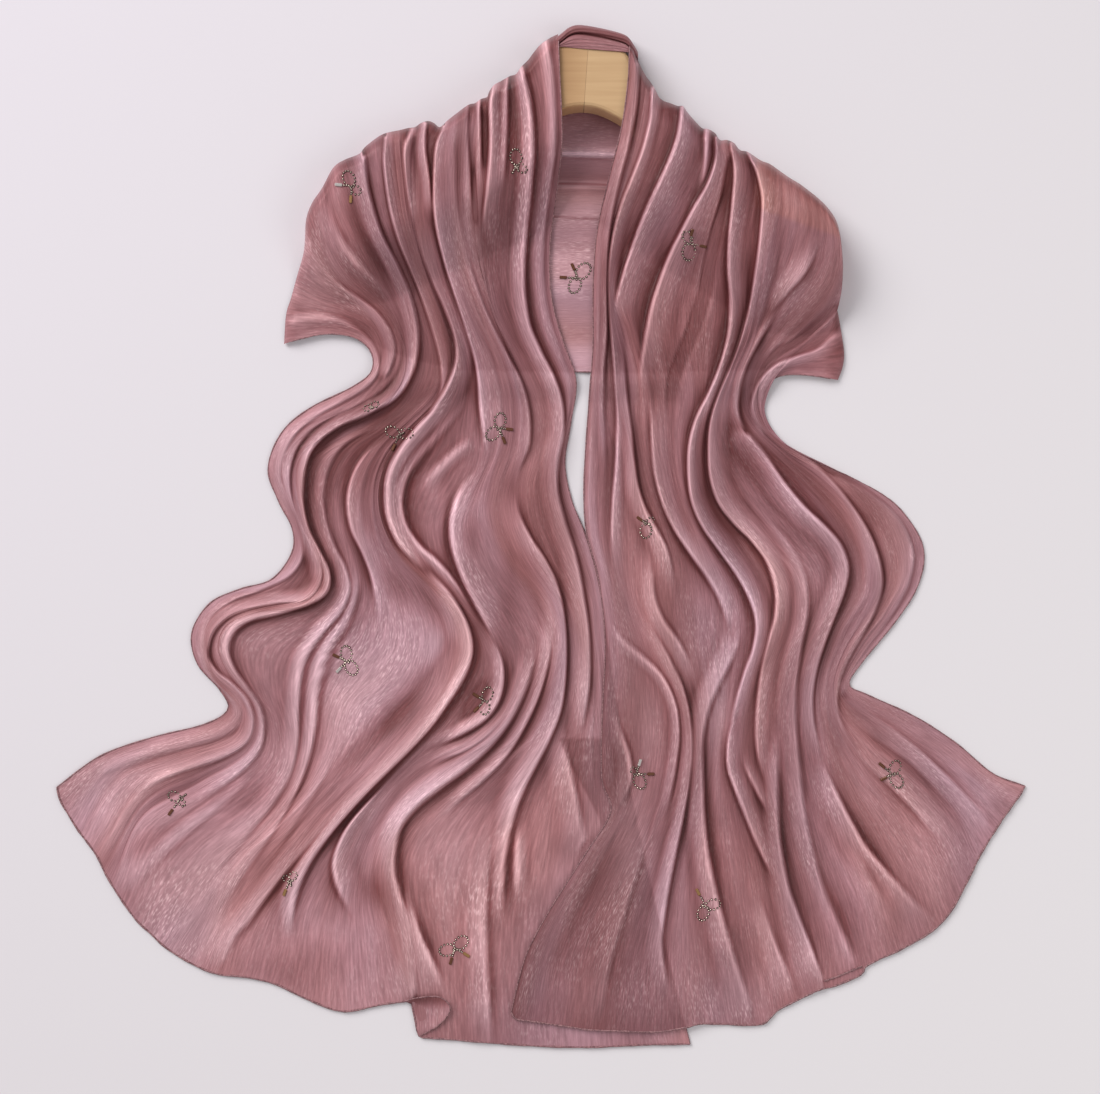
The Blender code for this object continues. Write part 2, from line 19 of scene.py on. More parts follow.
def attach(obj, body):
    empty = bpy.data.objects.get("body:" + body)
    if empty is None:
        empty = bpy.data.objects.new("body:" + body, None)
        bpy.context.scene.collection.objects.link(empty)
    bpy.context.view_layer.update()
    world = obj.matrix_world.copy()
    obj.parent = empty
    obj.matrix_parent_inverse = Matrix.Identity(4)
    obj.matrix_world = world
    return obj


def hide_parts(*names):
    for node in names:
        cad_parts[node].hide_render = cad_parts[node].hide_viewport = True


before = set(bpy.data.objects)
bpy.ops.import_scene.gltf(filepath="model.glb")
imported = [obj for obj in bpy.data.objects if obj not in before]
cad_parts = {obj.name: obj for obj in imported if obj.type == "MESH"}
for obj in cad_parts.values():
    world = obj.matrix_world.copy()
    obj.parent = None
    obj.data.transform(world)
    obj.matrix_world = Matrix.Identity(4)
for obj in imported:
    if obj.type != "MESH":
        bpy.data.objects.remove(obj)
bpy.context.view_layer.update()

MM = 0.001

# Driving sizes, the same as the solids have
PIXEL = 0.88 * MM
FOOTPRINT_MID = (541.0, 537.36)
EYE_AT = (550.0, 547.0)
EYE_HEIGHT = 1.60
FRAME_WIDTH = 1100
WALL = 1.2 * MM
GAP = 0.35 * MM
HANGER_TOP = WALL + GAP + 30.0 * MM
ROLL_RADIUS = 10.0 * MM
BACK_ROLL = 9.0 * MM
ARM_REACH = 28.0 * MM
TENT_RUN = 78.0 * MM
TENT_CLEAR = 1.5 * MM
NECK_INSET = 9.0 * MM
NECK_MARGIN = 14.0
SEAM_GAP = 0.15 * MM

# How thick a front is where it is pressed, and how far it and its folds stand up
PRESSED = 1.2 * MM
SLEEVE_PUFF = 1.6 * MM
TALLEST = 16.0 * MM

# Flat sizes of the sheets in metres, and for the two fronts the flat area in square metres
# of the cloth that shows, without what is hidden in their pleats
CLOTH_WIDTH = 0.71
FRONT_LENGTH = 0.86
BACK_FLAT = (0.46, 0.24)
NECK_FLAT = (0.10, 0.05)
LEFT_AREA = 0.32
RIGHT_AREA = 0.27

# Fineness of the sheets
FRONT_COLUMNS = 318
FRONT_ROWS = 300
TURN_ROWS = 12
BACK_COLUMNS = 260
BACK_ROWS = 150
NECK_COLUMNS = 90
NECK_ROWS = 70
CURL_COLUMNS = 48
CURL_ROWS = 14

# The hanger, in its own plan: half of its centre line, in pixels from its middle
HANGER_MID = (588.0, 78.0)
HANGER_TURN = math.radians(4.0)
ARM_LINE = (
    # across, down
    (0.0, 0.0), (24.0, 7.0), (52.0, 36.0), (104.0, 76.0), (160.0, 106.0), (204.0, 128.0),
    (221.0, 139.0),
)

# The hem of the back stretch, from left to right
BACK_HEM = (
    (289, 337), (312, 331), (338, 328), (362, 335), (392, 352), (450, 367), (520, 371),
    (588, 372), (660, 372), (730, 370), (790, 369), (833, 372),
)

# Lines that run with the cloth of the left front, from its shoulder to its hem. They go
# from its outer edge to its inner edge.
LEFT_GUIDES = {
    "outer edge": (
        (284, 344), (300, 339), (328, 334), (355, 338), (371, 352), (371, 372), (352, 387),
        (310, 408), (282, 432), (268, 468), (278, 500), (292, 528), (292, 552), (272, 579),
        (240, 589), (210, 603), (192, 632), (197, 663), (220, 690), (228, 709), (205, 724),
        (150, 738), (100, 756), (57, 787)),
    "sleeve fold": (
        (297, 276), (320, 290), (346, 302), (368, 318), (381, 338), (384, 358), (377, 380),
        (350, 407), (312, 427), (289, 450), (285, 475), (296, 512), (304, 543), (298, 568),
        (272, 588), (236, 598), (210, 618), (202, 643), (212, 676), (236, 702), (238, 720),
        (214, 738), (160, 754), (110, 778), (79, 831)),
    "sleeve fold 2": (
        (315, 200), (326, 248), (346, 280), (374, 304), (392, 328), (401, 356), (396, 386),
        (372, 410), (334, 432), (304, 452), (296, 478), (303, 518), (314, 548), (317, 574),
        (300, 597), (262, 605), (228, 616), (210, 640), (214, 668), (238, 694), (249, 720),
        (240, 742), (196, 762), (142, 786), (97, 856)),
    "corner fold": (
        (333, 167), (343, 204), (358, 242), (379, 282), (398, 318), (407, 352), (403, 383),
        (382, 411), (343, 434), (311, 455), (302, 481), (309, 522), (320, 552), (322, 579),
        (304, 602), (263, 610), (230, 623), (218, 647), (227, 675), (248, 700), (256, 728),
        (242, 754), (196, 779), (144, 808), (106, 875)),
    "shoulder fold": (
        (352, 158), (364, 190), (372, 222), (388, 262), (405, 300), (413, 340), (412, 378),
        (392, 411), (352, 436), (318, 458), (308, 484), (315, 526), (326, 556), (328, 584),
        (308, 608), (264, 615), (232, 630), (226, 654), (240, 682), (258, 706), (264, 738),
        (244, 766), (196, 796), (146, 830), (117, 894)),
    "side fold": (
        (380, 137), (382, 170), (390, 215), (408, 268), (424, 314), (434, 352), (428, 390),
        (400, 420), (368, 448), (348, 482), (345, 520), (354, 560), (356, 596), (338, 632),
        (312, 662), (301, 700), (302, 744), (290, 784), (256, 828), (212, 868), (163, 945)),
    "side fold 2": (
        (391, 134), (394, 170), (402, 222), (418, 276), (436, 320), (446, 360), (438, 394),
        (412, 422), (386, 448), (371, 480), (369, 520), (380, 560), (394, 596), (400, 640),
        (384, 676), (356, 706), (342, 742), (322, 780), (284, 824), (240, 868), (192, 963)),
    "crossing fold": (
        (401, 131), (404, 168), (410, 222), (425, 272), (441, 316), (451, 356), (446, 390),
        (422, 420), (396, 446), (380, 480), (380, 516), (396, 554), (424, 586), (444, 620),
        (446, 652), (436, 690), (406, 728), (374, 766), (330, 812), (284, 872), (236, 936),
        (220, 975)),
    "long fold": (
        (420, 125), (415, 160), (416, 215), (424, 266), (442, 312), (457, 358), (450, 392),
        (422, 424), (396, 456), (386, 492), (394, 534), (420, 572), (456, 604), (472, 646),
        (458, 680), (434, 722), (402, 762), (362, 806), (322, 856), (294, 906), (284, 950),
        (275, 984)),
    "band edge": (
        (440, 127), (431, 152), (431, 210), (442, 266), (458, 318), (472, 368), (476, 420),
        (476, 462), (456, 502), (446, 534), (458, 582), (488, 628), (504, 668), (496, 708),
        (464, 740), (422, 764), (388, 796), (362, 838), (346, 890), (338, 950), (338, 1010)),
    "band": (
        (452, 117), (446, 156), (446, 212), (454, 264), (470, 312), (490, 360), (500, 404),
        (500, 444), (486, 486), (482, 520), (498, 566), (528, 612), (540, 646), (526, 688),
        (500, 734), (448, 772), (408, 808), (384, 846), (378, 892), (388, 946), (400, 1002)),
    "pleat edge": (
        (462, 110), (458, 156), (458, 212), (466, 264), (482, 312), (504, 362), (515, 404),
        (514, 446), (502, 486), (500, 520), (516, 562), (546, 606), (556, 646), (546, 692),
        (524, 738), (474, 778), (428, 816), (404, 852), (402, 892), (413, 950), (419, 1036)),
    "centre fold": (
        (475, 104), (471, 156), (470, 212), (478, 264), (494, 312), (514, 362), (526, 408),
        (526, 450), (515, 486), (518, 520), (534, 560), (560, 602), (566, 650), (560, 706),
        (540, 756), (512, 804), (494, 850), (484, 900), (480, 960), (480, 1042)),
    "neck fold": (
        (496, 84), (491, 130), (487, 190), (484, 250), (494, 310), (520, 362), (538, 406),
        (542, 448), (534, 486), (538, 524), (554, 564), (574, 608), (582, 660), (580, 720),
        (570, 780), (562, 840), (556, 900), (554, 970), (556, 1046)),
    "inner fold": (
        (521, 69), (531, 110), (532, 160), (527, 220), (524, 280), (536, 334), (556, 380),
        (562, 420), (554, 460), (556, 496), (572, 540), (590, 590), (598, 650), (604, 720),
        (608, 790), (614, 860), (620, 930), (626, 990), (630, 1045)),
    "inner edge": (
        (558, 35), (560, 80), (562, 140), (557, 190), (550, 245), (551, 295), (562, 338),
        (576, 380), (571, 422), (565, 462), (571, 498), (585, 534), (598, 580), (608, 640),
        (618, 710), (630, 780), (644, 850), (660, 920), (676, 985), (690, 1044)),
}

# Lines that run with the cloth of the right front, from its inner edge to its outer edge
RIGHT_GUIDES = {
    "inner edge": (
        (630, 39), (628, 80), (622, 125), (608, 182), (597, 232), (593, 286), (593, 345),
        (589, 400), (584, 480), (586, 530), (598, 576), (605, 640), (602, 720), (602, 780),
        (611, 811), (584, 856), (548, 913), (525, 958), (511, 1012)),
    "collar fold": (
        (640, 66), (637, 110), (629, 160), (612, 218), (604, 262), (604, 312), (603, 360),
        (603, 410), (608, 460), (606, 510), (610, 556), (620, 600), (632, 650), (634, 710),
        (632, 768), (624, 812), (600, 860), (574, 914), (556, 962), (546, 1022)),
    "collar fold 2": (
        (655, 90), (647, 132), (632, 176), (616, 222), (609, 264), (611, 312), (619, 356),
        (622, 404), (630, 452), (632, 504), (636, 552), (640, 600), (656, 650), (672, 696),
        (676, 744), (666, 804), (642, 866), (622, 916), (608, 966), (598, 1030)),
    "bright fold": (
        (681, 107), (678, 138), (656, 190), (632, 240), (616, 290), (628, 336), (637, 376),
        (638, 424), (646, 476), (658, 516), (668, 556), (670, 606), (678, 660), (690, 712),
        (694, 764), (686, 820), (672, 880), (662, 934), (656, 984), (652, 1031)),
    "chest fold": (
        (714, 134), (708, 172), (686, 220), (662, 264), (646, 312), (652, 356), (660, 400),
        (664, 446), (674, 494), (690, 540), (702, 586), (706, 636), (712, 688), (714, 742),
        (706, 800), (698, 860), (700, 920), (706, 972), (714, 1025)),
    "slot fold": (
        (724, 142), (728, 172), (716, 212), (702, 254), (692, 304), (692, 350), (696, 396),
        (688, 442), (692, 496), (712, 540), (738, 584), (746, 632), (738, 690), (728, 748),
        (732, 802), (742, 856), (750, 912), (758, 964), (768, 1019)),
    "side fold": (
        (742, 152), (746, 180), (736, 226), (730, 274), (732, 318), (720, 366), (706, 416),
        (704, 460), (718, 504), (748, 546), (772, 588), (774, 632), (760, 680), (752, 734),
        (758, 790), (770, 846), (782, 898), (794, 948), (808, 995)),
    "side fold 2": (
        (762, 161), (764, 196), (757, 240), (752, 286), (746, 332), (730, 374), (719, 416),
        (724, 458), (744, 500), (776, 542), (802, 578), (804, 620), (788, 666), (780, 722),
        (786, 782), (798, 838), (812, 894), (822, 940), (824, 983)),
    "hip fold": (
        (786, 175), (788, 210), (778, 256), (765, 300), (752, 342), (737, 378), (736, 410),
        (758, 444), (788, 478), (820, 516), (845, 556), (848, 592), (828, 632), (813, 680),
        (814, 732), (826, 788), (846, 846), (866, 892), (884, 957)),
    "hip fold 2": (
        (812, 194), (818, 228), (808, 266), (786, 298), (766, 330), (750, 362), (744, 394),
        (754, 424), (784, 454), (818, 482), (848, 516), (864, 556), (864, 594), (844, 634),
        (827, 682), (832, 728), (856, 778), (888, 826), (914, 874), (934, 929)),
    "outer fold": (
        (834, 216), (840, 252), (830, 288), (804, 318), (778, 344), (760, 370), (753, 396),
        (760, 424), (786, 449), (822, 470), (852, 498), (874, 536), (884, 574), (876, 606),
        (850, 646), (836, 682), (842, 712), (872, 748), (914, 788), (948, 828), (969, 874)),
    "outer fold 2": (
        (842, 278), (836, 312), (812, 336), (788, 354), (768, 373), (758, 396), (763, 424),
        (786, 445), (824, 464), (858, 484), (888, 514), (902, 548), (903, 580), (886, 614),
        (860, 650), (843, 684), (852, 702), (890, 727), (934, 757), (972, 792), (1001, 824)),
    "outer edge": (
        (838, 380), (814, 376), (785, 375), (768, 384), (762, 404), (765, 430), (788, 449),
        (828, 467), (860, 482), (894, 503), (918, 534), (924, 560), (915, 592), (892, 626),
        (864, 660), (849, 684), (868, 695), (914, 716), (956, 743), (992, 773), (1025, 786)),
}

# The outline of each front where it turns over the shoulder, from outer to inner on the
# left and from inner to outer on the right, and at the hem
LEFT_SHOULDER = (
    (284, 344), (286, 315), (291, 298), (297, 276), (304, 250), (306, 220), (312, 203),
    (322, 188), (333, 168), (344, 160), (359, 154), (364, 148), (371, 142), (381, 135),
    (390, 132), (400, 130), (408, 128), (415, 127), (421, 123), (428, 121), (434, 123),
    (440, 127), (448, 120), (457, 113), (468, 105), (475, 103), (481, 99), (487, 97),
    (489, 92), (494, 85), (501, 81), (510, 76), (516, 74), (521, 67), (528, 60), (534, 52),
    (541, 44), (550, 38), (558, 34),
)
LEFT_HEM = (
    (57, 787), (60, 800), (68, 814), (78, 830), (90, 846), (98, 858), (105, 873),
    (115, 890), (125, 905), (137, 921), (150, 933), (165, 947), (185, 960), (205, 970),
    (222, 975), (245, 977), (275, 984), (300, 996), (328, 1008), (340, 1011), (352, 1011),
    (380, 1005), (400, 1002), (410, 1002), (413, 1010), (416, 1024), (419, 1036),
    (428, 1038), (445, 1039), (480, 1042), (520, 1045), (560, 1047), (600, 1047), (640, 1045),
    (690, 1044),
)
RIGHT_SHOULDER = (
    (630, 39), (634, 48), (637, 58), (641, 67), (646, 76), (652, 84), (656, 91), (659, 97),
    (664, 101), (670, 103), (678, 106), (683, 106), (688, 113), (695, 121), (702, 128),
    (708, 129), (715, 133), (720, 140), (727, 140), (734, 143), (740, 150), (748, 152),
    (760, 160), (770, 164), (780, 171), (790, 178), (800, 184), (808, 190), (818, 198),
    (828, 208), (836, 220), (840, 234), (842, 250), (843, 270), (841, 290), (837, 306),
    (839, 318), (844, 350), (843, 366), (838, 380),
)
RIGHT_HEM = (
    (511, 1012), (516, 1019), (530, 1021), (550, 1024), (570, 1027), (590, 1030),
    (620, 1031), (645, 1032), (665, 1031), (688, 1027), (700, 1024), (720, 1024),
    (740, 1025), (757, 1025), (765, 1023), (771, 1017), (780, 1009), (800, 999),
    (810, 994), (822, 989), (832, 987), (845, 982), (855, 978), (863, 973), (865, 967),
    (880, 959), (900, 950),
    (920, 939), (935, 929), (945, 919), (955, 905), (963, 890), (972, 872), (982, 852),
    (1000, 823), (1012, 806), (1020, 795), (1025, 786),
)

# Single folds, as they lie on the cloth: the height in mm and the width in pixels of the
# west and east sides, each at the start, half way and at the end, and the line of the
# crest. The narrower side is the edge of a pleat. A height below nought is a furrow.
LEFT_CREASES = {
    # heights, west widths, east widths, crest
    "sleeve hem roll": ((3, 5, 1.5), (9, 8, 12), (8, 7, 12), (
        (296, 318), (320, 316), (345, 323), (364, 337), (376, 355), (376, 373), (364, 388),
        (344, 400), (320, 413), (298, 430), (284, 452), (279, 475), (284, 498), (294, 522),
        (301, 545), (299, 562), (286, 577), (260, 589), (233, 599), (213, 613), (203, 632),
        (204, 655), (214, 674), (230, 689), (240, 705), (239, 722), (222, 735), (190, 745),
        (150, 755), (105, 771))),
    "sleeve cap fold": ((1, 4, 5), (16, 12, 7), (9, 8, 6), (
        (309, 240), (318, 262), (334, 282), (356, 298), (376, 313), (390, 333), (394, 352),
        (388, 372))),
    "sleeve bright crease": ((0, 4, 1), (12, 10, 8), (5, 5, 8), (
        (326, 196), (331, 220), (345, 246), (362, 268), (380, 287), (394, 304))),
    "second roll": ((2, 8, 3), (9, 8, 14), (6, 6, 10), (
        (394, 318), (400, 338), (400, 358), (393, 376), (378, 392), (356, 405), (332, 416),
        (311, 430), (296, 448), (289, 470), (290, 494), (298, 520), (310, 544), (319, 564),
        (320, 584), (306, 599), (276, 603), (246, 609), (225, 618), (211, 634), (207, 655),
        (216, 672), (232, 685), (247, 702), (252, 722), (245, 742), (220, 757), (170, 774),
        (120, 800))),
    "third roll": ((8, 11, 2), (10, 8, 16), (10, 7, 12), (
        (363, 158), (367, 190), (379, 232), (397, 268), (411, 302), (417, 338), (412, 370),
        (396, 396), (368, 413), (338, 426), (315, 444), (304, 468), (302, 498), (307, 526),
        (318, 550), (328, 572), (326, 591), (308, 604), (276, 613), (248, 620), (232, 632),
        (227, 650), (233, 669), (246, 688), (258, 706), (262, 728), (257, 750), (238, 772),
        (205, 797), (165, 826), (128, 860))),
    "flap fold": ((8, 6, 2), (4, 5, 6), (13, 11, 8), (
        (386, 138), (385, 165), (390, 205), (399, 238), (411, 268), (423, 298), (433, 328),
        (441, 358), (443, 384), (437, 404), (424, 420), (408, 432))),
    "small top fold": ((6, 4, 0), (5, 5, 6), (6, 8, 8), (
        (412, 130), (405, 150), (407, 180), (413, 215), (422, 252))),
    "small top fold 2": ((8, 7, 3), (7, 7, 7), (4, 4, 6), (
        (425, 124), (424, 148), (428, 176), (431, 204), (437, 236))),
    "long fold upper": ((3, 12, 13), (10, 10, 12), (14, 12, 9), (
        (414, 200), (420, 240), (432, 276), (446, 308), (456, 338), (457, 362), (448, 388),
        (434, 410), (418, 428), (402, 448), (391, 468), (387, 490), (389, 516), (399, 540),
        (414, 558), (432, 574))),
    "long fold lower": ((11, 12, 6), (12, 26, 9), (9, 7, 6), (
        (420, 566), (438, 582), (454, 602), (466, 624), (471, 644), (469, 662), (460, 682),
        (446, 704), (430, 726), (411, 747), (390, 768), (368, 790), (346, 814), (326, 838),
        (308, 864), (296, 892), (291, 920), (289, 950))),
    "long fold inner rim": ((2, 7, 5), (7, 6, 7), (8, 7, 7), (
        (468, 378), (464, 400), (450, 420), (433, 440), (416, 460), (404, 482), (401, 504),
        (406, 526), (419, 546), (438, 563), (455, 583), (468, 606), (477, 630))),
    "band": ((9, 10, 4), (4, 4, 6), (30, 34, 30), (
        (444, 127), (436, 152), (435, 210), (446, 264), (463, 318), (477, 366), (481, 408),
        (485, 440), (490, 468))),
    "band light line": ((4, 6, 6), (12, 12, 12), (9, 8, 5), (
        (455, 118), (454, 160), (456, 210), (468, 262), (484, 308), (504, 350), (520, 382),
        (528, 412), (528, 444), (519, 468), (514, 490))),
    "slit side": ((7, 6, 0), (12, 12, 10), (3, 3, 6), (
        (467, 106), (467, 140), (469, 180), (472, 220), (477, 252))),
    "slit side 2": ((6, 4, 0), (3, 3, 4), (3, 3, 4), (
        (479, 101), (479, 132), (480, 166), (481, 200))),
    "neck side": ((10, 8, 0), (4, 4, 7), (10, 10, 12), (
        (494, 84), (491, 106), (491, 146), (488, 186), (484, 226), (483, 266))),
    "neck side 2": ((8, 5, 0), (7, 7, 8), (3, 4, 8), (
        (507, 77), (506, 110), (505, 146), (501, 186), (495, 228))),
    "inner ridge": ((10, 9, 7), (9, 10, 14), (9, 9, 9), (
        (521, 68), (529, 104), (532, 146), (529, 190), (525, 232), (523, 280), (528, 322),
        (540, 352), (553, 378), (561, 404), (562, 432), (557, 460), (556, 490), (563, 520),
        (573, 552), (581, 590), (587, 632), (588, 676), (583, 716), (576, 740))),
    "neck rim": ((4, 4, 2), (8, 8, 8), (5, 5, 5), (
        (546, 42), (552, 70), (555, 108), (555, 146), (549, 186), (544, 226), (543, 270),
        (549, 318), (562, 356), (571, 384), (569, 410), (563, 438))),
    "diagonal crease": ((5, 4, 2), (4, 5, 7), (7, 7, 9), (
        (482, 436), (462, 446), (444, 462), (428, 480), (418, 502))),
    "bulge": ((4, 9, 8), (6, 4, 4), (34, 42, 16), (
        (486, 464), (468, 480), (456, 500), (451, 522), (453, 548), (462, 576), (476, 604),
        (490, 630), (500, 652))),
    "valley roll": ((3, 6, 3), (5, 5, 7), (12, 14, 20), (
        (402, 434), (382, 442), (363, 458), (352, 478), (348, 502), (352, 528), (363, 552),
        (372, 576), (377, 604), (378, 634))),
    "fourth roll": ((3, 6, 2), (7, 8, 16), (7, 9, 14), (
        (388, 425), (362, 433), (340, 447), (327, 468), (322, 495), (325, 522), (334, 548),
        (344, 568), (348, 590), (339, 612), (320, 634), (303, 662), (297, 700), (296, 740),
        (290, 770), (274, 800), (250, 830), (220, 862), (185, 902))),
    "fourth roll edge": ((3, 5, 2), (10, 12, 14), (4, 6, 12), (
        (348, 538), (356, 568), (356, 594), (346, 622), (328, 650), (317, 686), (314, 724),
        (308, 756), (296, 790), (278, 822), (254, 856), (228, 892), (205, 926))),
    "fan fold": ((0, 4, 1.5), (14, 12, 14), (12, 10, 14), (
        (352, 716), (336, 748), (320, 780), (300, 814), (274, 850), (246, 888), (222, 926))),
    "fan edge": ((3, 6, 3), (26, 30, 22), (4, 4, 4), (
        (384, 752), (360, 781), (337, 806), (318, 831), (300, 853), (282, 875), (264, 898),
        (248, 920), (234, 936), (222, 962))),
    "gusset fold": ((3, 7, 2), (5, 5, 8), (12, 16, 18), (
        (404, 768), (384, 788), (364, 808), (348, 828), (338, 848), (334, 866), (338, 886),
        (350, 908), (366, 930))),
    "lower light fold": ((5, 9, 4), (10, 11, 12), (11, 13, 10), (
        (539, 636), (530, 670), (519, 700), (506, 724), (488, 746), (463, 768), (437, 787),
        (414, 806), (399, 826), (393, 850), (393, 874), (400, 900), (408, 926), (412, 956),
        (414, 990))),
    "hem pleat edge": ((2, 6, 6), (12, 20, 28), (5, 4, 3), (
        (400, 868), (406, 890), (412, 912), (420, 936), (430, 958), (439, 980), (446, 1002))),
    "ring fold": ((3, 9, 2), (8, 8, 8), (5, 5, 6), (
        (480, 622), (493, 642), (501, 662), (502, 684), (496, 704), (483, 720), (462, 733),
        (438, 743), (414, 754))),
    "under ring fold": ((3, 6, 2), (7, 8, 9), (8, 8, 9), (
        (512, 690), (503, 712), (490, 732), (468, 748), (440, 760), (414, 776))),
    "ridge line": ((2, 6, 4), (8, 9, 9), (6, 7, 7), (
        (532, 560), (546, 590), (552, 620), (549, 654), (540, 690), (526, 722), (508, 752),
        (484, 778), (456, 802), (436, 826))),
    "centre dark edge": ((7, 9, 4), (16, 16, 12), (4, 4, 6), (
        (515, 486), (518, 512), (530, 538), (544, 560), (555, 582), (562, 608), (565, 640),
        (564, 680), (559, 712), (547, 742), (531, 772), (518, 800), (509, 832), (504, 862),
        (501, 894), (498, 940))),
    "hem light fold": ((0, 5, 0), (5, 5, 5), (7, 9, 10), (
        (524, 794), (518, 822), (516, 860), (516, 896), (522, 930))),
    "centre panel fold": ((2, 4, 1), (12, 14, 16), (12, 14, 16), (
        (566, 700), (562, 740), (572, 790), (582, 840), (596, 880))),
    "hem panel fold": ((1, 4, 4), (12, 14, 16), (10, 12, 14), (
        (500, 800), (489, 850), (484, 900), (484, 950), (486, 1000), (488, 1040))),
    "far fan fold": ((1, 3, 1.5), (14, 18, 22), (10, 14, 18), (
        (262, 742), (252, 772), (224, 800), (188, 828), (152, 860), (130, 885))),
    "slit": ((-7, -5, 0), (3, 3, 4), (3, 3, 4), (
        (484, 100), (485, 130), (485, 160), (483, 186))),
    "slit 2": ((0, -6, 0), (4, 4, 5), (4, 4, 5), (
        (474, 140), (474, 180), (476, 216), (479, 256))),
    "sleeve hollow": ((0, -3, -1), (10, 12, 10), (10, 12, 10), (
        (352, 188), (358, 212), (370, 242), (386, 274), (404, 308))),
    "ring hollow": ((0, -3, 0), (10, 12, 10), (10, 12, 10), (
        (486, 660), (484, 690), (470, 712), (446, 726))),
}

